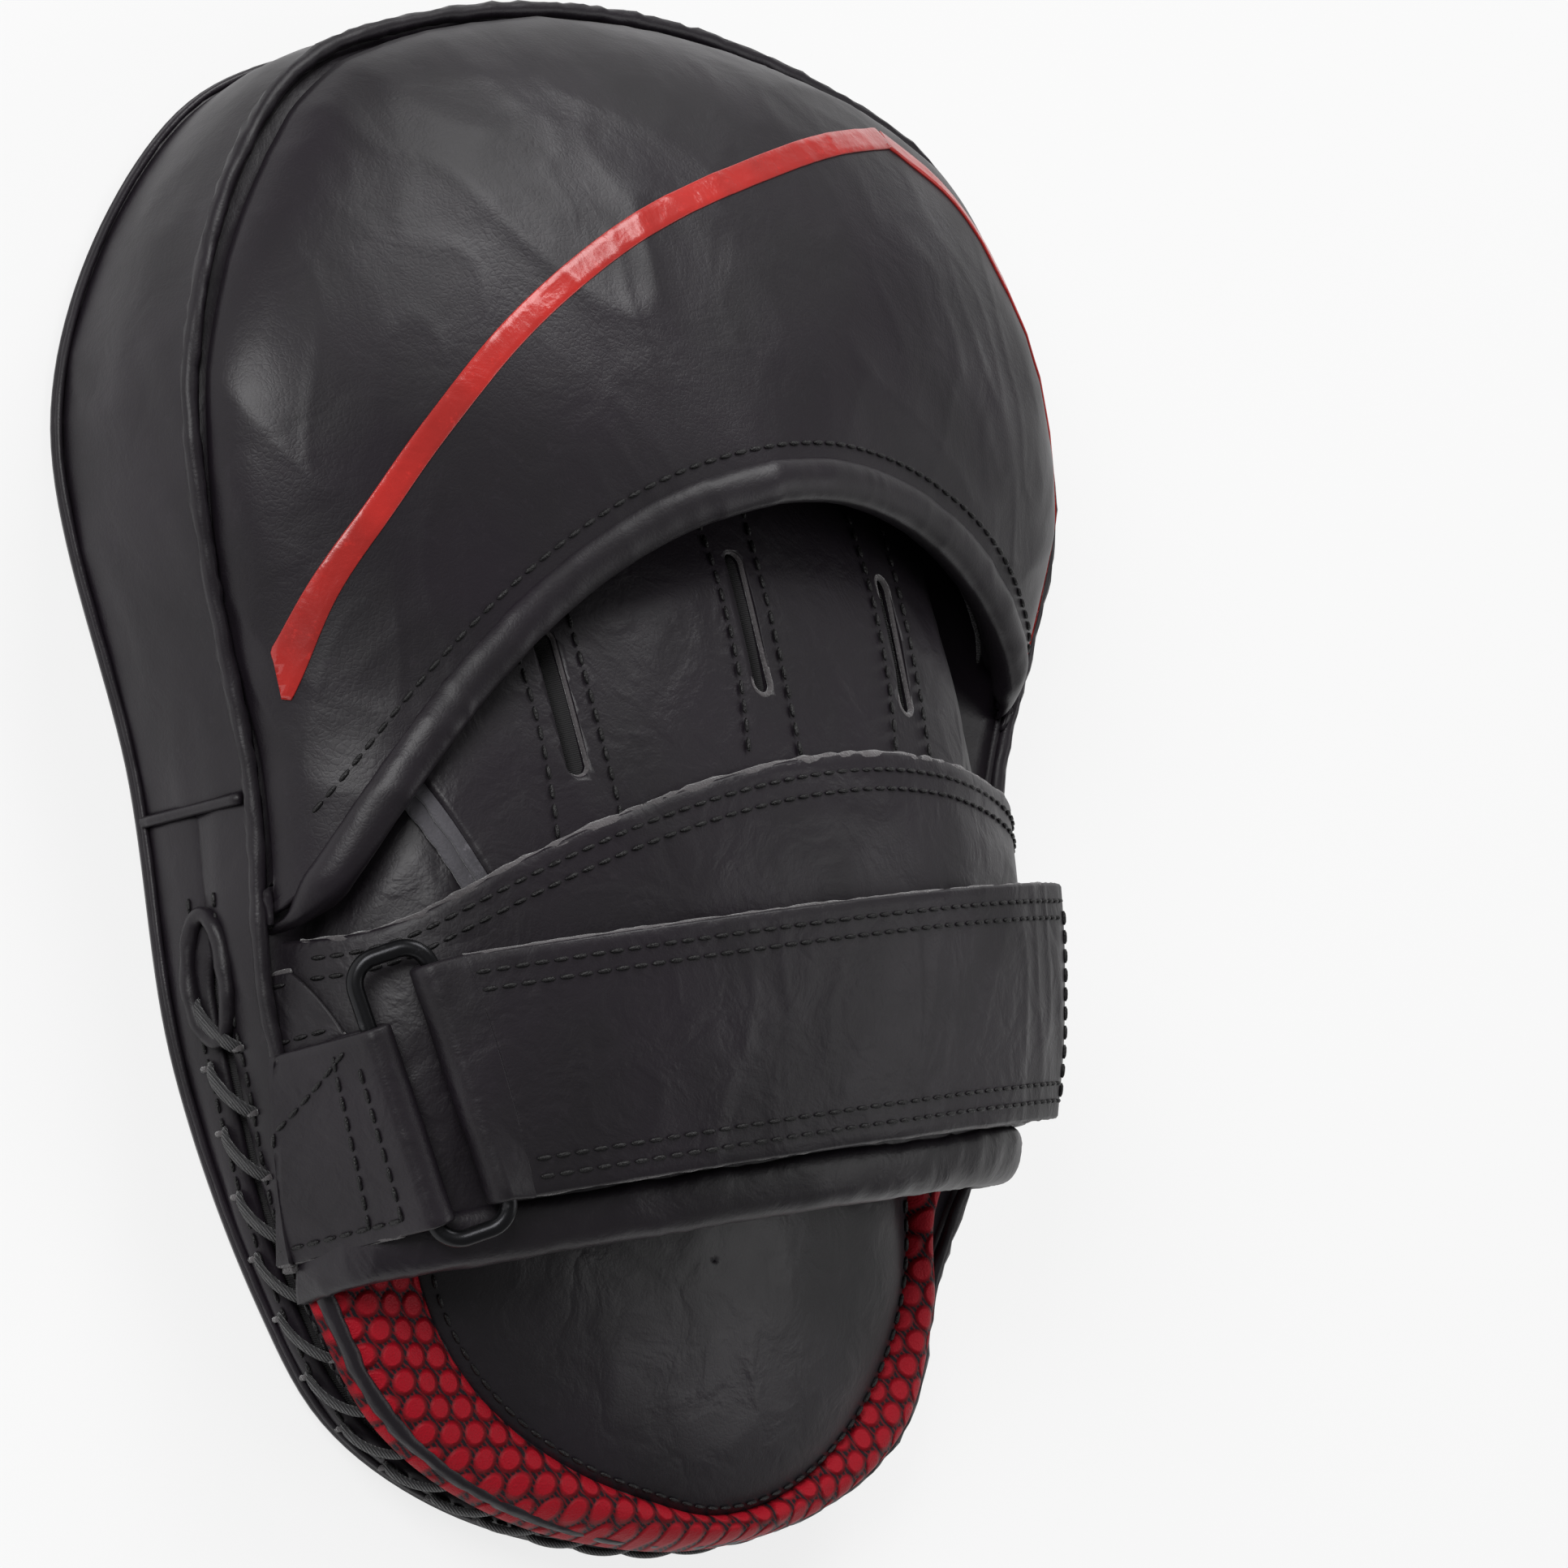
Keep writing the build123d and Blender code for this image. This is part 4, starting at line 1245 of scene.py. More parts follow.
def band_place(turn: float, across: float, grow: float) -> Vector:
    """Point over the hand back, across from the strap's middle line towards the fingers."""
    x = arch_place(turn, 0.0, grow).x
    y = STRAP_Y + tan(radians(STRAP_SLANT)) * x + across / cos(radians(STRAP_SLANT))
    return arch_place(turn, y, grow)


def arch_spot(x: float, y: float, grow: float) -> Vector:
    """Point over the hand back at a place in plan."""
    return arch_place(arch_turn_at(x, grow), y, grow)


def ring_axes() -> tuple:
    """The ring's middle and its three directions: across, along and out."""
    spot = arch_spot(RING_SPOT[0], RING_SPOT[1], 0.0)
    right = arch_spot(RING_SPOT[0] + 0.5, RING_SPOT[1], 0.0) - spot
    up = arch_spot(RING_SPOT[0], RING_SPOT[1] + 0.5, 0.0) - spot
    out = right.cross(up).normalized()
    lie = Vector((-sin(radians(RING_SLANT)), cos(radians(RING_SLANT)), 0))
    across = lie.cross(out).normalized()
    return spot + out * RING_HEIGHT, across, out.cross(across), out


RING_MIDDLE, RING_ACROSS, RING_ALONG, RING_OUT = ring_axes()


def ring_place(across: float, along: float, out: float) -> Vector:
    """Point given in the ring's own directions."""
    return RING_MIDDLE + RING_ACROSS * across + RING_ALONG * along + RING_OUT * out


# --- finger panel ---
@dataclass(frozen=True)
class FingerSlot:
    """One slot over the gap between two fingers: its middle in plan and its turn in degrees."""

    name: str
    x: float
    y: float
    turn: float
    length: float = 26.0
    width: float = 4.2

    def line(self, grown: float, count: int = 40) -> list:
        """Outline in plan.

        Args:
            grown: how far out from the cut edge.
            count: points round it.

        Returns:
            Its points, at no height.
        """
        half = self.length / 2 - self.width / 2
        radius = self.width / 2 + grown
        spots = []
        for step in range(count):
            angle = 2 * pi * step / count
            end = half if sin(angle) >= 0 else -half
            local = Vector((radius * cos(angle), end + radius * sin(angle), 0))
            local.rotate(Matrix.Rotation(radians(self.turn), 3, "Z"))
            spots.append(Vector((self.x + local.x, self.y + local.y, 0)))
        return spots

    def beside(self, along: float, out: float) -> tuple:
        """Place in plan beside the slot's own line."""
        return self.x - tan(radians(self.turn)) * along + out, self.y + along


@dataclass
class FingerPanel(SubAssembly):
    """Finger panel with its slots, the stalls under it, the gussets and the raw suede at its sides."""

    slots: tuple = (FingerSlot("thumb_side", -46.0, 2.0, 6.0), FingerSlot("middle", -5.0, 18.0, 0.0),
                    FingerSlot("little_side", 36.0, 18.0, -6.0))
    grow: float = -2.3
    thickness: float = 1.8
    low_y: float = -34.0
    high_y: float = 66.0
    rim_radius: float = 0.55
    seam_run: tuple = (-24.0, 26.0)
    seam_out: float = 5.2
    stall_run: tuple = (-26.0, 30.0)
    stall_out: float = 3.4
    stall_foot: float = 38.0
    stall_thickness: float = 1.4
    gusset_turns: tuple = (-24.0, 16.0)
    gusset_run: tuple = (-46.0, 46.0)
    gusset_sink: float = 3.2
    suede_length: float = 58.0
    suede_limit: float = -84.0

    def build(self) -> None:
        """Make every piece of the finger panel."""
        self.panel()
        self.slot_rims()
        self.seams()
        for slot in self.slots:
            self.stall(slot)
        self.gussets()
        self.suede_edges()

    @staticmethod
    def left(y: float) -> float:
        """Left edge of the panel at y."""
        return max(-79.0, -71.5 - (y + 7) * 0.526)

    @staticmethod
    def right(y: float) -> float:
        """Right edge of the panel at y."""
        return 54.5 + (y + 4) * 0.118 + 1.2 * sin((y + 4) * 0.16)

    def top(self, u: float, v: float) -> Vector:
        """Point on top of the panel."""
        y = self.low_y + (self.high_y - self.low_y) * v
        return arch_spot(self.left(y) + (self.right(y) - self.left(y)) * u, y, self.grow)

    def panel(self) -> None:
        """The panel's leather, with its slots cut through."""
        place = lifted(self.top, soft_creases(16.0, 0.45, (1.0, 2.0, 1.0), seed=8.0))
        panel = slab("finger_panel_leather", place, (96, 72), self.thickness, self.finish.back)
        self.cut_slots(panel)
        self.keep(panel, nodes=("finger_panel",))

    def cut_slots(self, panel: bpy.types.Object) -> None:
        """Cut the finger slots through the panel."""
        work = bmesh.new()
        for slot in self.slots:
            low, high = ([work.verts.new(spot + Vector((0, 0, height))) for spot in slot.line(0.0)]
                         for height in (30, 90))
            skin(work, [low, high])
            work.faces.new(low[::-1])
            work.faces.new(high)
        cutter = to_object("slot_cutter", work, panel.data.materials[0], smooth=False)
        cut = panel.modifiers.new("slots", "BOOLEAN")
        cut.operation = "DIFFERENCE"
        cut.object = cutter
        cut.solver = "EXACT"
        bpy.context.view_layer.update()
        shaped = panel.evaluated_get(bpy.context.evaluated_depsgraph_get())
        mesh = bpy.data.meshes.new_from_object(shaped)
        panel.modifiers.clear()
        panel.data = mesh
        bpy.data.objects.remove(cutter)

    def slot_rims(self) -> None:
        """Raw grey edge round each slot."""
        rims = [[arch_spot(spot.x, spot.y, self.grow - 0.5) for spot in slot.line(0.15, 64)]
                for slot in self.slots]
        self.keep(tubes("slot_rims", rims, self.rim_radius, self.finish.edge, closed=True), Slot.SUEDE)

    def seams(self, count: int = 60) -> None:
        """Two bowed rows of stitches beside each slot."""
        low, high = self.seam_run
        rows = []
        for slot in self.slots:
            for side in (-1, 1):
                path = []
                for step in range(count + 1):
                    along = low + (high - low) * step / count
                    out = side * (self.seam_out + 0.9 * (along / low) ** 2)
                    path.append(arch_spot(*slot.beside(along, out), self.grow + 0.35))
                rows.append(path)
        self.sew("finger_seams", rows)

    def stall(self, slot: FingerSlot) -> None:
        """The two walls under one slot, between the finger stalls."""
        low, high = self.stall_run
        for side, label in ((-1, "left"), (1, "right")):
            def wall(u: float, v: float, lift: float) -> Vector:
                """Point of the wall, upright under the panel."""
                along = low + (high - low) * u
                top = arch_spot(*slot.beside(along, side * (self.stall_out + 1.2)), self.grow - 2.4).z
                x, y = slot.beside(along, side * (self.stall_out + lift))
                return Vector((x, y, self.stall_foot + (top - self.stall_foot) * v))

            where = f"{slot.name}_{label}"
            piece = slab(f"stall_{where}", wall, (24, 8), self.stall_thickness, self.finish.lining)
            self.keep(piece, nodes=(f"stall_wall_{where}",))

    def gussets(self) -> None:
        """Soft leather that closes the gap between the panel and the back seam."""
        slack = soft_creases(15.0, 0.7, (1.0, 1.6, 1.0), seed=13.0)
        first, last = self.gusset_run
        for name, side, inner in zip(("thumb_gusset", "finger_gusset"), (-1, 1), self.gusset_turns):
            def gusset(u: float, v: float) -> Vector:
                """Point of the gusset."""
                y = first + (last - first) * v
                low, high = sorted((inner, seat_turn(round(y, 2), side)))
                return arch_place(low + (high - low) * u, y, self.grow - self.gusset_sink)

            self.keep(slab(name, lifted(gusset, slack), (40, 50), 1.4, self.finish.back))

    def suede_edges(self) -> None:
        """Two layers of raw suede that stand out at each side of the panel."""
        for name, node, edge, side in (("suede_edge_thumb", "suede_thumb", self.left, -1),
                                       ("suede_edge_finger", "suede_finger", self.right, 1)):
            for layer in range(2):
                strip = lifted(self.suede_strip(edge, side, layer), no_creases)

                def turned(u: float, v: float, lift: float) -> Vector:
                    """Point of the strip, with its height on the outer side."""
                    return strip(u, v, -side * lift)

                piece = slab(f"{name}_{layer + 1}", turned, (90, 4), 1.0, self.finish.suede)
                self.keep(piece, Slot.SUEDE, (node,) if layer == 0 else ())

    def suede_strip(self, edge: Height, side: int, layer: int) -> Surface:
        """Surface of one suede strip.

        Args:
            edge: x of the panel's edge at y.
            side: -1 at the thumb, 1 at the little finger.
            layer: 0 for the lower strip, 1 for the upper.

        Returns:
            The strip, read at u along the hand and v outwards.
        """
        def strip(u: float, v: float) -> Vector:
            """Point of the strip."""
            y = self.low_y + 2 + self.suede_length * u
            ragged = 0.5 * noise.noise(Vector((y * 0.3, layer * 5.0, side)))
            x = edge(y) + side * ((3.6 - 2.0 * layer + ragged) * v - 3.0 * (1 - v))
            return arch_spot(max(self.suede_limit, x), y, self.grow - 1.7 + 0.9 * layer)
        return strip


# --- hand back and cuff ---
@dataclass
class HandBack(SubAssembly):
    """Leather over the back of the hand, with the padded cuff and its knitted lining."""

    front_x: float = 38.0
    front_y: float = -3.5
    front_radius: float = 213.0
    left_run: tuple = (-78.0, -30.0)
    right_run: tuple = (-63.0, -18.0)
    stitch_insets: tuple = (2.6, 6.0)
    raw_radius: float = 0.95
    cuff_start: float = 20.8
    cuff_end: float = 29.5
    cuff_half: tuple = (4.9, 3.4)
    cuff_sink: float = 1.6
    cuff_ends_y: tuple = (-88.0, -67.0)
    cuff_sections: int = 180
    cuff_sides: int = 28
    knit_run: tuple = (-28.0, 6.0)
    knit_sink: float = 5.4

    def build(self) -> None:
        """Make the leather, its front edge, the cuff and the lining."""
        place = lifted(self.surface, soft_creases(20.0, 0.6, (2.2, 1.0, 1.0), seed=5.0))
        leather = slab("hand_back_leather", place, (170, 44), LEATHER, self.finish.back)
        self.keep(leather, nodes=("hand_back",))
        self.front_stitches(place)
        raw = [place(0.04 + 0.92 * step / 200, 1.0, -1.0) for step in range(201)]
        edge = tube("hand_back_raw_edge", raw, self.raw_radius, self.finish.edge, sides=8, creases=0.5)
        self.keep(edge, Slot.SUEDE)
        self.cuff()
        self.lining()

    def front_at(self, x: float) -> float:
        """Y of the front edge at x, on one round sweep."""
        out = max(0.0, self.front_radius ** 2 - (x - self.front_x) ** 2)
        return self.front_y - self.front_radius + sqrt(out)

    def surface(self, u: float, v: float) -> Vector:
        """Point of the hand back: u from the thumb side's seam, v from the cuff to the front edge."""
        left, right = (seat_turn(round(run[0] + (run[1] - run[0]) * v, 2), side)
                       for run, side in ((self.left_run, -1), (self.right_run, 1)))
        turn = left + (right - left) * u
        rear = band_place(turn, -self.cuff_start - 1.0, 0.0)
        return arch_place(turn, rear.y + (self.front_at(rear.x) - rear.y) * v, 0.0)

    def front_stitches(self, place: Place, count: int = 240) -> None:
        """Rows of stitches behind the front edge."""
        rows = []
        for inset in self.stitch_insets:
            path = []
            for step in range(count + 1):
                u = 0.06 + 0.88 * step / count
                edge = place(u, 1.0, 0.2)
                path.append(edge + (place(u, 0.9, 0.2) - edge).normalized() * inset)
            rows.append(path)
        self.sew("hand_back_stitches", rows)

    def cuff_turns(self) -> tuple:
        """Turns at which the cuff comes down to the seam, thumb side first."""
        return seat_turn(self.cuff_ends_y[0], -1), seat_turn(self.cuff_ends_y[1], 1)

    def cuff(self) -> None:
        """Padded roll round the wrist opening, puckered where it is sewn."""
        middle = -(self.cuff_start + self.cuff_end) / 2
        left, right = self.cuff_turns()
        puckers = soft_creases(11.0, 0.9, (0.7, 1.8, 1.0), seed=9.0)
        work = bmesh.new()
        rings = []
        for step in range(self.cuff_sections + 1):
            turn = left + (right - left) * step / self.cuff_sections
            ring = []
            for side in range(self.cuff_sides):
                angle = 2 * pi * side / self.cuff_sides
                wide, tall = (half * abs(part) ** 0.8 * (1 if part > 0 else -1)
                              for half, part in zip(self.cuff_half, (cos(angle), sin(angle))))
                swell = puckers(band_place(turn, middle + wide, tall - self.cuff_sink)) * 0.7
                across = middle + wide * (1 + swell * 0.14)
                ring.append(work.verts.new(band_place(turn, across, tall - self.cuff_sink + swell * 0.9)))
            rings.append(ring)
        skin(work, rings)
        work.faces.new(rings[0])
        work.faces.new(rings[-1])
        cuff = self.keep(to_object("cuff_roll", work, self.finish.back), nodes=("cuff_pad",))

    def lining(self) -> None:
        """Ribbed knit inside the cuff."""
        left, right = self.cuff_turns()
        low, high = self.knit_run

        def knit(u: float, v: float) -> Vector:
            """Point of the lining."""
            return band_place(left + 1 + (right - left - 2) * u, low + (high - low) * v, -self.knit_sink)

        piece = slab("cuff_lining_knit", lifted(knit, no_creases), (120, 16), 1.2, self.finish.knit)
        self.keep(piece, Slot.KNIT, ("cuff_lining",))


# --- wrist strap ---
@dataclass
class WristStrap(SubAssembly):
    """Lower leaf, hook and loop, upper leaf, and the fold round the ring."""

    loop_thickness: float = 1.4
    hook_thickness: float = 1.7
    glue: float = 0.15
    patch_margin: float = 4.0
    loop_start: float = 14.0
    hook_start: float = 50.0
    flap_end: float = 75.5
    base_end: float = 99.0
    stitch_insets: tuple = (2.6, 5.6)
    raw_radius: float = 0.75
    fold_share: float = 0.22

    def build(self) -> None:
        """Make every piece of the strap."""
        finish = self.finish
        base_top = CLEAR + STRAP_THICKNESS
        loop_top = base_top + self.glue + self.loop_thickness
        hook_top = loop_top + CLEAR + self.hook_thickness
        flap_top = hook_top + self.glue + STRAP_THICKNESS
        margin, end = self.patch_margin, self.flap_end
        base = lifted(self.layer(base_top, STRAP_START, self.base_end), no_creases)
        leaf = slab("strap_lower_leaf", base, (120, 16), STRAP_THICKNESS, finish.strap)
        self.keep(leaf, nodes=("strap_base",))
        loop = lifted(self.layer(loop_top, STRAP_START + self.loop_start, end - 1, margin), no_creases)
        patch = slab("loop_side", loop, (90, 10), self.loop_thickness, finish.patch)
        self.keep(patch, Slot.PATCH, ("loop_patch",))
        hook = lifted(self.layer(hook_top, STRAP_START + self.hook_start, end - 4, margin), no_creases)
        patch = slab("hook_side", hook, (60, 10), self.hook_thickness, finish.patch)
        self.keep(patch, Slot.PATCH, ("hook_patch",), Body.FLAP)
        self.flap(flap_top)
        self.fold(base_top, flap_top)

    def layer(self, grow: float, start: float, end_x: float, margin: float = 0.0) -> Surface:
        """Surface of one layer of the strap.

        Args:
            grow: height over the hand back.
            start: where it starts, out from the ring's middle.
            end_x: x of its far end; past the arch's side it ends at the seam.
            margin: how much narrower than the strap it is, at each side.

        Returns:
            The layer, read at u from the ring to the far end and v across towards the fingers.
        """
        slope = RING_ALONG.x / RING_ALONG.y
        rise = tan(radians(STRAP_SLANT))
        near = ring_place(start, 0.0, 0.0)

        def surface(u: float, v: float) -> Vector:
            """Point of the layer."""
            across = (STRAP_WIDTH / 2 - margin) * (2 * v - 1)
            y_cut = STRAP_Y + across / cos(radians(STRAP_SLANT))
            x = (near.x + slope * (y_cut - near.y)) / (1 - slope * rise)
            first = arch_turn_at(x, grow)
            if end_x < ARCH_HALF_WIDTH:
                last = arch_turn_at(end_x, grow)
            else:
                last = seat_turn(round(y_cut + rise * ARCH_HALF_WIDTH, 2), 1)
            return band_place(first + (last - first) * u, across, grow)
        return surface

    def flap(self, top: float) -> None:
        """Upper leaf with its double rows of stitches and its raw edges.

        Args:
            top: height of its outer side over the hand back.
        """
        slack = soft_creases(11.0, 0.5, (1.0, 3.0, 1.0), seed=2.0)
        place = lifted(self.layer(top, STRAP_START, self.flap_end), slack)
        leaf = slab("strap_upper_leaf", place, (170, 30), STRAP_THICKNESS, self.finish.strap)
        self.keep(leaf, nodes=("strap_flap",), body=Body.FLAP)
        rows = []
        for inset in self.stitch_insets:
            share = inset / STRAP_WIDTH
            rows += [row_along(place, v, 0.2, 0.01, 0.985, 240) for v in (share, 1 - share)]
        rows.append(row_across(place, 0.982, 0.2, 0.07, 0.93))
        self.sew("strap_stitches", rows, Body.FLAP)
        cuts = [row_along(place, v, -1.0) for v in (0.0, 1.0)]
        edges = tubes("strap_raw_edges", cuts, self.raw_radius, self.finish.edge, sides=8, creases=0.4)
        self.keep(edges, Slot.SUEDE, body=Body.FLAP)

    def fold(self, base_top: float, flap_top: float) -> None:
        """Leather that comes up from the lower leaf, turns round the ring's bar and meets the flap.

        Args:
            base_top: height of the lower leaf's outer side.
            flap_top: height of the upper leaf's outer side.
        """
        half = STRAP_THICKNESS / 2
        base = self.layer(base_top - half, STRAP_START + 1, self.base_end)
        flap = self.layer(flap_top - half, STRAP_START + 1, self.flap_end)
        radius = BAR_ROOM + half
        reach = self.fold_share

        def bend(u: float, v: float) -> Vector:
            """Point on the fold's middle surface."""
            along = STRAP_WIDTH * (v - 0.5)
            if u < reach:
                return base(0.0, v).lerp(ring_place(BAR_X, along, -radius), smooth_step(u / reach))
            if u > 1 - reach:
                share = smooth_step((u - 1 + reach) / reach)
                return ring_place(BAR_X, along, radius).lerp(flap(0.0, v), share)
            turn = -pi / 2 - pi * (u - reach) / (1 - 2 * reach)
            return ring_place(BAR_X + radius * cos(turn), along, radius * sin(turn))

        rolled = lifted(bend, soft_creases(9.0, 0.25, (1.0, 1.0, 1.0), seed=6.0))

        def outer(u: float, v: float, lift: float) -> Vector:
            """Point over the fold's outer side."""
            return rolled(u, v, half + lift)

        piece = slab("strap_fold_leather", outer, (48, 26), STRAP_THICKNESS, self.finish.strap)
        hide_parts("strap_fold")
        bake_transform(piece)
        self.note(piece)


# --- ring, its tab and the side anchor ---
@dataclass
class RingAndTab(SubAssembly):
    """Wire ring, the tab that holds it and the anchor beside it."""

    corner: float = 4.5
    wire_sides: int = 16
    tab_thickness: float = 1.6
    tab_low: float = -20.5
    tab_high: float = 13.0
    tab_room: float = 0.35
    taper_out: float = 12.0
    rise_start: float = 0.3
    wrap_start: float = 0.46
    wrap_end: float = 0.74
    under_overhang: tuple = (1.6, 0.6)
    anchor_width: float = 12.5
    raw_radius: float = 0.7

    def build(self) -> None:
        """Make the ring, the tab and the anchor."""
        self.ring()
        tab = self.tab()
        self.under_layer()
        self.tab_stitches(tab)
        anchor = self.anchor()
        cuts = [row_along(anchor, v, -0.7, count=60) for v in (0.0, 1.0)]
        cuts.append(row_along(tab, 0.0, -0.8, 0.01, 0.43, 60))
        edges = tubes("tab_raw_edges", cuts, self.raw_radius, self.finish.edge, sides=8, creases=0.5)
        self.keep(edges, Slot.SUEDE)

    def ring(self) -> None:
        """Oblong wire ring with round corners."""
        side, end = BAR_X - self.corner, (RING_LENGTH - RING_WIRE) / 2 - self.corner
        path = []
        for x, y, first in ((side, end, 0), (-side, end, 90), (-side, -end, 180), (side, -end, 270)):
            for step in range(13):
                angle = radians(first + 90 * step / 12)
                path.append(ring_place(x + self.corner * cos(angle), y + self.corner * sin(angle), 0.0))
        straight = []
        for spot, after in zip(path, path[1:] + path[:1]):
            spans = max(1, int((after - spot).length / 2))
            straight += [spot.lerp(after, step / spans) for step in range(spans)]
        wire = tube("strap_ring", straight, RING_WIRE / 2, self.finish.metal, sides=self.wire_sides,
                    closed=True)
        self.keep(wire, Slot.WIRE, ("ring",), Body.RING)

    @property
    def taper_turn(self) -> float:
        """Turn at which the tab starts to rise to the ring."""
        return arch_turn_at(ring_place(-BAR_X - self.taper_out, 0.0, -2.0).x, 1.0)

    @staticmethod
    def seam_turn(along: float) -> float:
        """Turn at the back seam for a given way along the ring."""
        return seat_turn(round(RING_MIDDLE.y - 5 + along * RING_ALONG.y, 3), -1)

    @staticmethod
    def over_hand(turn: float, along: float, grow: float) -> Vector:
        """Point over the hand back at one turn, a given way along the ring.

        Args:
            turn: of the arch's wall.
            along: way along the ring from its middle.
            grow: height over the hand back.

        Returns:
            The point, in millimetres.
        """
        y = RING_MIDDLE.y + along
        for _ in range(6):
            spot = arch_place(turn, y, grow)
            y += (along - (spot - RING_MIDDLE).dot(RING_ALONG)) / RING_ALONG.y
        return arch_place(turn, y, grow)

    def from_seam(self, stop: float, share: float, along: float, grow: float) -> Vector:
        """Point a share of the way from the back seam to a turn."""
        start = self.seam_turn(along)
        return self.over_hand(start + (stop - start) * share, along, grow)

    def band(self, u: float, v: float) -> Vector:
        """Middle of the tab's leather: up from the seam, round the bar and back under itself."""
        along = self.tab_low + (self.tab_high - self.tab_low) * v
        radius = BAR_ROOM + self.tab_room + self.tab_thickness / 2
        upper = CLEAR + 1.5 * self.tab_thickness + 0.8
        if u < self.rise_start:
            return self.from_seam(self.taper_turn, u / self.rise_start, along, upper)
        if u < self.wrap_start:
            start = self.over_hand(self.taper_turn, along, upper)
            share = (u - self.rise_start) / (self.wrap_start - self.rise_start)
            return start.lerp(ring_place(-BAR_X - 0.5, along, radius), share)
        if u < self.wrap_end:
            turn = pi / 2 - pi * (u - self.wrap_start) / (self.wrap_end - self.wrap_start)
            return ring_place(-BAR_X - 0.5 + (radius + 0.5) * cos(turn), along, radius * sin(turn))
        stop = self.over_hand(self.taper_turn, along, CLEAR + self.tab_thickness / 2)
        return ring_place(-BAR_X - 0.5, along, -radius).lerp(stop, min(1.0, (u - self.wrap_end) / 0.2))

    def tab(self) -> Place:
        """The tab's leather.

        Returns:
            Its outer side, read at u along it, v across and a height.
        """
        wrapped = lifted(self.band, soft_creases(10.0, 0.1, (1.0, 1.0, 1.0), seed=4.0))

        def outer(u: float, v: float, lift: float) -> Vector:
            """Point over the tab's outer side."""
            return wrapped(u, v, self.tab_thickness / 2 + lift)

        piece = slab("ring_tab_leather", outer, (110, 30), self.tab_thickness, self.finish.strap)
        self.keep(piece, nodes=("ring_tab",))
        return outer

    def under_layer(self) -> None:
        """Grey layer whose edge shows below the tab."""
        low, high = self.tab_low - self.under_overhang[0], self.tab_high - self.under_overhang[1]

        def surface(u: float, v: float) -> Vector:
            """Point of the layer."""
            return self.from_seam(self.taper_turn + 2, u, low + (high - low) * v, CLEAR + self.tab_thickness)

        under = lifted(surface, no_creases)
        piece = slab("ring_tab_under", under, (50, 12), self.tab_thickness - 0.2, self.finish.edge)
        self.keep(piece, Slot.SUEDE)

    def tab_stitches(self, tab: Place, count: int = 60) -> None:
        """Two rows beside the ring, one slanted row and one along the lower edge."""
        rows = [row_across(tab, u, 0.2, 0.05, 0.95) for u in (0.435, 0.40)]
        slant = [step / count for step in range(count + 1)]
        rows.append([tab(0.42 - 0.34 * share, 0.95 - 0.86 * share, 0.2) for share in slant])
        rows.append(row_along(tab, 0.07, 0.2, 0.05, 0.44, 80))
        self.sew("ring_tab_stitches", rows)

    def anchor(self) -> Place:
        """Band beside the tab that ties the hand back to the seam.

        Returns:
            Its outer side, read at u along it, v across and a height.
        """
        def surface(u: float, v: float) -> Vector:
            """Point of the anchor."""
            along = self.tab_high + CLEAR + self.anchor_width * v
            last = arch_turn_at(ring_place(-BAR_X, along, -2.0).x, 1.0)
            return self.from_seam(last, u, along, CLEAR + self.tab_thickness + 0.3)

        strip = lifted(surface, soft_creases(8.0, 0.25, (1.0, 1.0, 1.0), seed=1.0))
        piece = slab("side_anchor_leather", strip, (40, 12), self.tab_thickness, self.finish.strap)
        self.keep(piece, nodes=("side_anchor",))
        self.sew("side_anchor_stitches", [row_along(strip, v, 0.2) for v in (0.14, 0.86)])
        return strip


# --- hood ---
STRIPE_STATIONS = (
    (-92.0, 3.0), (-88.5, 20.0), (-80.0, 36.0), (-72.5, 47.0), (-59.0, 62.0), (-41.5, 76.0), (-22.5, 87.0),
    (5.5, 99.0), (32.0, 108.5), (54.5, 114.5),
)
STRIPE_LEG = (
    (54.5, 114.5), (71.5, 105.0), (83.5, 93.0), (92.5, 81.0), (99.0, 66.0), (102.0, 51.0), (102.5, 36.0),
    (99.5, 24.0), (95.5, 17.0),
)


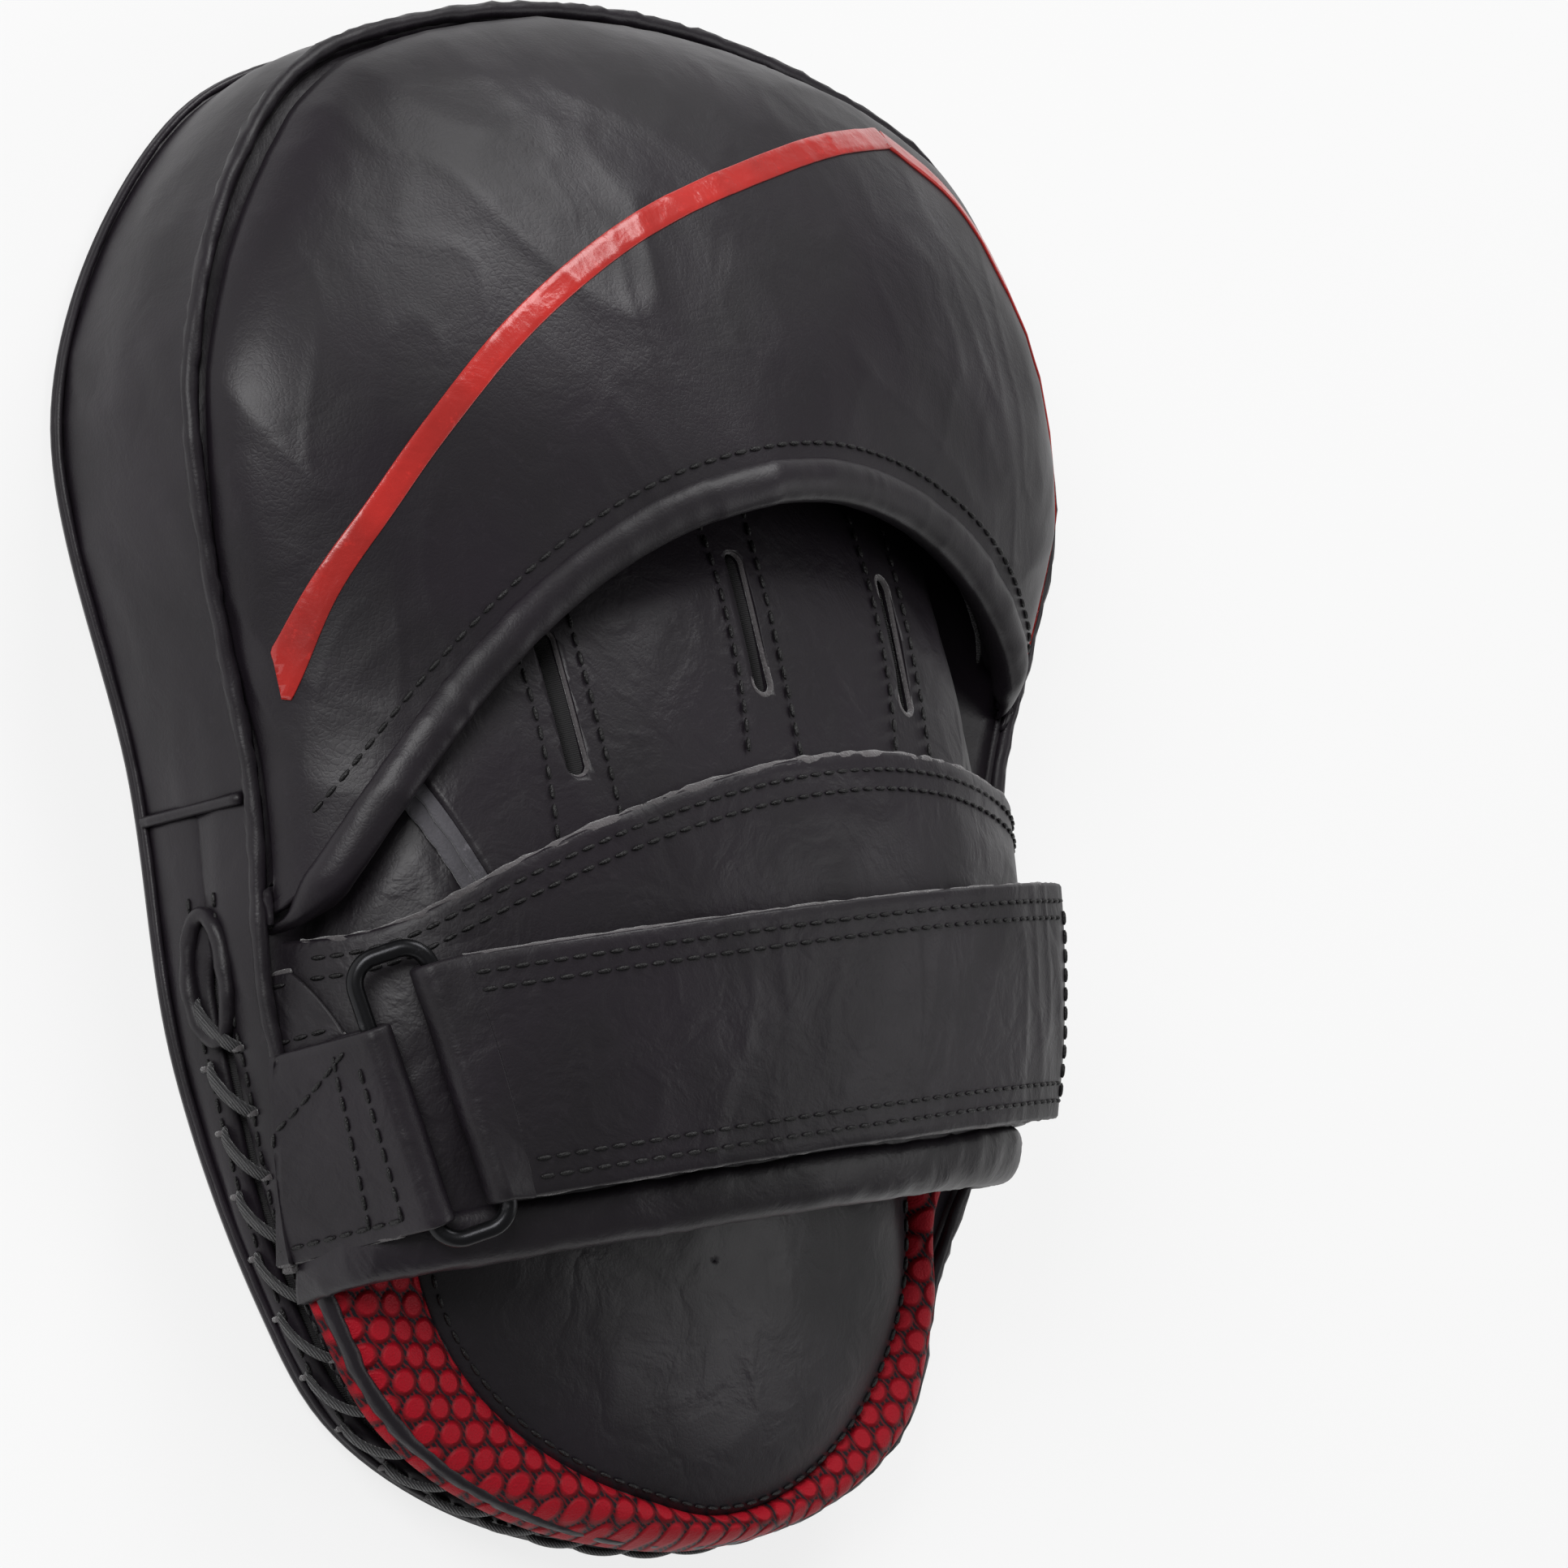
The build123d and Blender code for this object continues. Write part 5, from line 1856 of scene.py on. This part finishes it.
@dataclass
class Hood(SubAssembly):
    """Padded hood over the fingers, with its lining, bound edge, stitching and red stripe."""

    edge_middle: tuple = (16.0, -78.0)
    edge_radius: float = 117.0
    tail_y: float = -34.0
    heel_y: float = 12.0
    tail_drop: float = 7.0
    thickness: float = 7.5
    lining_depth: float = 7.9
    lining_thickness: float = 0.6
    stripe_reach: float = 0.965
    stripe_half: float = 2.1
    leg_half: tuple = (2.0, 0.7)
    stitch_gap: float = 3.0
    stitch_reach: float = 0.97
    binding_width: float = 6.5
    binding_half: tuple = (3.9, 2.5)
    binding_deep: float = 2.3
    binding_reach: float = 0.998
    binding_sides: int = 22

    def __post_init__(self) -> None:
        """Work out where the hood's ends stand round the outline and the folds of its leather."""
        self.first = share_at(self.heel_y, False) - 1
        self.last = share_at(self.tail_y, True)
        self.middle = Vector((*self.edge_middle, 0))
        rays = [OUTLINE.at(share) - self.middle for share in (self.first, self.last)]
        self.ends = [atan2(ray.y, ray.x) for ray in rays]
        self.soft = soft_creases(34.0, 0.9, (1.4, 1.0, 1.0), seed=11.0)
        self.fine = soft_creases(13.0, 0.28, (1.0, 1.6, 1.0), seed=7.0)

    def build(self) -> None:
        """Make every piece of the hood."""
        self.shell_and_lining()
        self.stripe("hood_stripe", STRIPE_STATIONS, self.stripe_half, self.stripe_half)
        self.stripe("hood_stripe_leg", STRIPE_LEG, *self.leg_half)
        self.edge_stitches()
        self.binding()

    def edge_at(self, u: float, out: float) -> Vector:
        """Place in plan along the open edge, a way out from its round sweep."""
        angle = self.ends[0] + (self.ends[1] - self.ends[0]) * u
        radius = self.edge_radius + out - self.tail_drop * smooth_step((u - 0.55) / 0.45)
        return self.middle + Vector((cos(angle), sin(angle), 0)) * radius

    def shell(self, u: float, v: float) -> Vector:
        """Point of the hood: u from the finger side to the thumb, v from the seam to the open edge."""
        foot = OUTLINE.at(self.first + (self.last - self.first) * u)
        foot = Vector((foot.x * HOOD_FOOT, foot.y * HOOD_FOOT, 0))
        spot = foot.lerp(self.edge_at(u, self.binding_width - 2), v ** 1.15)
        return Vector((spot.x, spot.y, hood_z(spot.x, spot.y)))

    def slack(self, spot: Vector) -> float:
        """Height of the leather's folds at a point."""
        return self.soft(spot) + self.fine(spot) - 0.4

    def on_hood(self, x: float, y: float, lift: float) -> Vector:
        """Point a height above the hood at a place in plan."""
        spot = Vector((x, y, hood_z(x, y)))
        right = Vector((x + 0.5, y, hood_z(x + 0.5, y))) - spot
        up = Vector((x, y + 0.5, hood_z(x, y + 0.5))) - spot
        return spot + right.cross(up).normalized() * (lift + self.slack(spot))

    def shell_and_lining(self) -> None:
        """Padded shell, thinned towards its two ends, and the cloth inside it."""
        place = lifted(self.shell, self.slack)

        def tapered(u: float, v: float, lift: float) -> Vector:
            """Point of the shell, with its thickness tapered at both ends."""
            return place(u, v, lift * (0.12 + 0.88 * smooth_step(min(u, 1 - u) / 0.05)))

        def inside(u: float, v: float, lift: float) -> Vector:
            """Point of the lining."""
            return place(0.04 + 0.92 * u, 0.25 + 0.74 * v, lift - self.lining_depth)

        hood = slab("hood_leather_shell", tapered, (300, 70), self.thickness, self.finish.hood,
                    round_edge=0.08)
        self.keep(hood, nodes=("hood_shell", "hood_pad"))
        lining = slab("hood_lining_cloth", inside, (120, 20), self.lining_thickness, self.finish.lining)
        self.keep(lining, Slot.LINING, ("hood_lining",))

    def stripe(self, name: str, stations: tuple, wide: float, narrow: float) -> None:
        """Red printed stripe along stations in plan.

        Args:
            name: of the piece.
            stations: places in plan that it passes through.
            wide: half its width at the start.
            narrow: half its width further on.
        """
        line = SmoothCurve(stations)

        def ribbon(u: float, v: float, lift: float) -> Vector:
            """Point of the stripe, kept inside the back seam."""
            spot = line.at(u)
            run = line.along(max(0.003, min(0.997, u)))
            half = wide + (narrow - wide) * smooth_step(u * 5)
            spot = spot - Vector((-run.y, run.x, 0)) * half * (2 * v - 1)
            middle_x, middle_y = HOOD_CENTRE
            inward = min(1.0, self.stripe_reach / outline_reach(spot.x, spot.y, HOOD_CENTRE))
            x, y = middle_x + (spot.x - middle_x) * inward, middle_y + (spot.y - middle_y) * inward
            return self.on_hood(x, y, 0.42 + lift)

        self.keep(slab(name, ribbon, (240, 4), 0.6, self.finish.red), Slot.MESH)

    def edge_stitches(self, count: int = 300) -> None:
        """Row of stitches behind the binding."""
        path = []
        for step in range(count + 1):
            spot = self.edge_at(0.02 + 0.96 * step / count, self.binding_width + self.stitch_gap)
            if outline_reach(spot.x, spot.y, HOOD_CENTRE) < self.stitch_reach:
                path.append(self.on_hood(spot.x, spot.y, 0.2))
        self.sew("hood_stitches", [path])

    def binding(self, count: int = 240) -> None:
        """Rolled leather binding, deeper below the edge than above it and thinned at both ends."""
        roll = [self.edge_at(step / count, self.binding_width / 2) for step in range(count + 1)]
        roll = [spot for spot in roll if outline_reach(spot.x, spot.y, HOOD_CENTRE) < self.binding_reach]
        puckers = soft_creases(9.0, 0.5, (1.0, 1.0, 1.0), seed=12.0)
        work = bmesh.new()
        rings = []
        for number, spot in enumerate(roll):
            size = 0.3 + 0.7 * smooth_step(min(number, len(roll) - 1 - number) / 9)
            here, slope, normal = self.binding_frame(spot)
            ring = []
            for side in range(self.binding_sides):
                angle = 2 * pi * side / self.binding_sides
                deep = 1.0 if sin(angle) > 0 else self.binding_deep
                wide, tall = cos(angle) * self.binding_half[0], sin(angle) * self.binding_half[1] * deep
                point = here + slope * (wide * size) + normal * (tall * size - 0.9)
                ring.append(work.verts.new(point + normal * puckers(point) * 0.5))
            rings.append(ring)
        skin(work, rings)
        work.faces.new(rings[0])
        work.faces.new(rings[-1])
        binding = self.keep(to_object("hood_edge_binding", work, self.finish.hood), nodes=("hood_binding",))

    def binding_frame(self, spot: Vector) -> tuple:
        """Point on the hood at a place on its edge, the slope up the hood and the normal there."""
        direction = (spot - self.middle).normalized()
        here = self.on_hood(spot.x, spot.y, 0.0)
        above = spot + direction
        slope = (self.on_hood(above.x, above.y, 0.0) - here).normalized()
        normal = slope.cross(direction.cross(Vector((0, 0, 1))).normalized())
        return here, slope, normal if normal.z >= 0 else -normal


# --- heel pad ---
HEEL_OVAL = (
    (-55.0, -76.0), (-53.0, -92.0), (-46.0, -105.0), (-35.0, -115.5), (-20.0, -123.5), (-3.0, -128.5),
    (14.0, -131.0), (31.5, -127.5), (46.5, -119.0), (59.0, -106.0), (66.5, -91.5), (68.0, -77.0),
    (62.0, -58.0), (5.0, -48.0), (-50.0, -58.0),
)


@dataclass
class HeelPad(SubAssembly):
    """Heel pad: black leather oval let into a red mesh border."""

    middle: tuple = (4.0, -88.0)
    top_y: float = -44.0
    steps_round: int = 240
    border_puff: float = 4.0
    border_thickness: float = 2.0
    border_lap: float = 0.985
    oval_rise: float = 2.88
    oval_thickness: float = 2.6
    piping_radius: float = 0.95

    def __post_init__(self) -> None:
        """Work out the oval's edge and the border's rim round it."""
        self.oval = SmoothCurve(HEEL_OVAL, closed=True)
        self.centre = Vector((*self.middle, 0))
        self.rims = [self.rim(step / self.steps_round) for step in range(self.steps_round)]
        self.slack = soft_creases(22.0, 0.6, (1.3, 1.0, 1.0), seed=15.0)

    def build(self) -> None:
        """Make the border, the oval, its piping and its stitches."""
        count = self.steps_round
        mesh = slab("heel_mesh_border", self.border, (count, 16), self.border_thickness, self.finish.mesh,
                    wrap=True)
        self.keep(mesh, Slot.MESH, ("mesh_border",))
        panel = slab("heel_leather_oval", self.pad, (220, 40), self.oval_thickness, self.finish.back,
                     wrap=True, round_edge=0.0)
        self.keep(panel, nodes=("heel_panel", "heel_foam"))
        seam = [self.pad(step / count, 0.0, 0.0) + Vector((0, 0, -0.2)) for step in range(count)]
        piping = tube("heel_oval_piping", seam, self.piping_radius, self.finish.back, closed=True,
                      creases=0.3)
        self.keep(piping)
        self.sew("heel_oval_stitches", [row_along(self.pad, 0.035, 0.35, count=400)])

    def inside(self, spot: Vector) -> bool:
        """Whether a place in plan lies within the back seam and below the hand."""
        limit = 0.95 + 0.062 * smooth_step((-74 - spot.y) / 20)
        return outline_reach(spot.x, spot.y, HOOD_CENTRE) < limit and spot.y < self.top_y

    def rim(self, u: float) -> Vector:
        """Outer edge of the border, straight out from the oval's edge at u."""
        ray = self.oval.at(u) - self.centre
        low, high = 0.5, 3.0
        for _ in range(22):
            size = (low + high) / 2
            if self.inside(self.centre + ray * size):
                low = size
            else:
                high = size
        return self.centre + ray * low

    def border(self, u: float, v: float, lift: float) -> Vector:
        """Point of the puffed mesh border: u round it, v from its rim to the oval."""
        outer = self.rims[int(round(u * self.steps_round)) % self.steps_round]
        inner = self.centre + (self.oval.at(u) - self.centre) * self.border_lap
        spot = outer.lerp(inner, v)
        swell = sin(pi * min(1.0, max(0.0, v))) ** 0.7
        puff = self.border_puff * swell - 1.5 * (1 - smooth_step(v * 6))
        return Vector((spot.x, spot.y, body_z(spot.x, spot.y) + puff + 0.2 + lift))

    def pad(self, u: float, v: float, lift: float) -> Vector:
        """Point of the leather oval: u round it, v from its edge to the middle."""
        spot = self.centre + (self.oval.at(u) - self.centre) * (1.0 - 0.9999 * v)
        rise = self.oval_rise * sqrt(1 - (1 - min(1.0, v * 3.0)) ** 2)
        flat = Vector((spot.x, spot.y, body_z(spot.x, spot.y) + rise + 0.2))
        fade = min(1.0, v * 5) * (1 - smooth_step((v - 0.8) / 0.2) * 0.9)
        return flat + Vector((0, 0, lift + self.slack(flat) * fade))


# --- stage ---
@dataclass(frozen=True)
class StudioCamera:
    """Camera that looks down on the mitt from the heel's thumb side; angles in degrees, sizes in metres."""

    azimuth: float = 45.0
    tilt: float = -9.69
    roll: float = 4.302
    reach: float = 1.4
    target: tuple = (0.0065, 0.0, 0.020)
    lens: float = 183.0
    sensor: float = 36.0
    shift: tuple = (0.0994, -0.0068)

    def build(self) -> None:
        """Add the camera and look through it."""
        azimuth, tilt, roll = radians(self.azimuth), radians(self.tilt), radians(self.roll)
        back = Vector((-sin(azimuth) * cos(tilt), sin(tilt), cos(azimuth) * cos(tilt)))
        level = Vector((cos(azimuth), 0, sin(azimuth)))
        rise = back.cross(level)
        right = level * cos(roll) - rise * sin(roll)
        up = level * sin(roll) + rise * cos(roll)
        data = bpy.data.cameras.new("camera")
        data.lens = self.lens
        data.sensor_width = self.sensor
        data.shift_x, data.shift_y = self.shift
        data.clip_start = 0.05
        camera = bpy.data.objects.new("camera", data)
        turn = Matrix((right, up, back)).transposed().to_4x4()
        camera.matrix_world = Matrix.Translation(Vector(self.target) + back * self.reach) @ turn
        bpy.context.scene.collection.objects.link(camera)
        bpy.context.scene.camera = camera


@dataclass(frozen=True)
class Softbox:
    """One area light; places in metres, power in watts."""

    name: str
    place: tuple
    aim: tuple
    size: float
    power: float

    def build(self) -> None:
        """Put the light in the scene."""
        data = bpy.data.lights.new(self.name, "AREA")
        data.shape = "SQUARE"
        data.size = self.size
        data.energy = self.power
        lamp = bpy.data.objects.new(self.name, data)
        lamp.location = self.place
        lamp.rotation_euler = (Vector(self.aim) - Vector(self.place)).to_track_quat("-Z", "Y").to_euler()
        bpy.context.scene.collection.objects.link(lamp)


@dataclass(frozen=True)
class Studio:
    """Pale paper floor, white surroundings and soft lights."""

    floor_half: float = 4000.0
    floor_z: float = -0.6
    paper_glow: float = 0.8
    sky_light: float = 0.20
    lights: tuple = (
        Softbox("key", (-1.1, 0.35, 0.85), (0, 0, 0.03), 0.6, 11.0),
        Softbox("fill", (1.0, -0.2, 1.0), (0, 0, 0.03), 0.8, 3.0),
        Softbox("back", (0.3, 1.1, 0.9), (0, 0.02, 0.05), 0.7, 9.0),
    )

    def build(self) -> None:
        """Add the floor, the world and the lights."""
        work = bmesh.new()
        spread = Matrix.Translation((0, 0, self.floor_z))
        bmesh.ops.create_grid(work, x_segments=1, y_segments=1, size=self.floor_half, matrix=spread)
        to_object("floor", work, self.paper())
        self.sky()
        for light in self.lights:
            light.build()
        bpy.context.scene.view_settings.view_transform = "Standard"

    def paper(self) -> bpy.types.Material:
        """White paper that keeps the mitt's shadow and shows bright to the camera."""
        material, work, shader = new_material("paper")
        work.feed(shader, {"Base Color": (0.9, 0.9, 0.9, 1.0), "Roughness": 0.9})
        rays = work.add("ShaderNodeLightPath")
        white = work.add("ShaderNodeEmission", {"Color": (1.0, 1.0, 1.0, 1.0), "Strength": 1.0})
        shown = work.math("ADD", rays.outputs["Is Camera Ray"], rays.outputs["Is Glossy Ray"])
        swap = work.add("ShaderNodeMixShader", {0: work.math("MULTIPLY", shown, self.paper_glow),
                                                1: shader.outputs[0], 2: white.outputs[0]})
        work.feed(work.tree.nodes["Material Output"], {"Surface": swap.outputs[0]})
        return material

    def sky(self) -> None:
        """White surroundings, dim for everything but the camera."""
        world = bpy.data.worlds.new("studio")
        world.use_nodes = True
        work = NodeWork(world.node_tree)
        seen = work.add("ShaderNodeLightPath").outputs["Is Camera Ray"]
        level = work.math("MULTIPLY_ADD", seen, 1 - self.sky_light, self.sky_light)
        work.feed(world.node_tree.nodes["Background"], {"Color": (1.0, 1.0, 1.0, 1.0), "Strength": level})
        bpy.context.scene.world = world


def main() -> None:
    """Build the mitt, the studio and the camera."""
    logging.basicConfig(level=logging.INFO)
    finishes = Finishes()
    for kind in (Cushion, Lacing, FingerPanel, HandBack, WristStrap, RingAndTab, Hood, HeelPad):
        assembly = kind(finishes)
        assembly.build()
        log.info("%s: %d pieces", kind.__name__, len(assembly.pieces))
    Studio().build()
    StudioCamera().build()


if __name__ == "__main__":
    main()
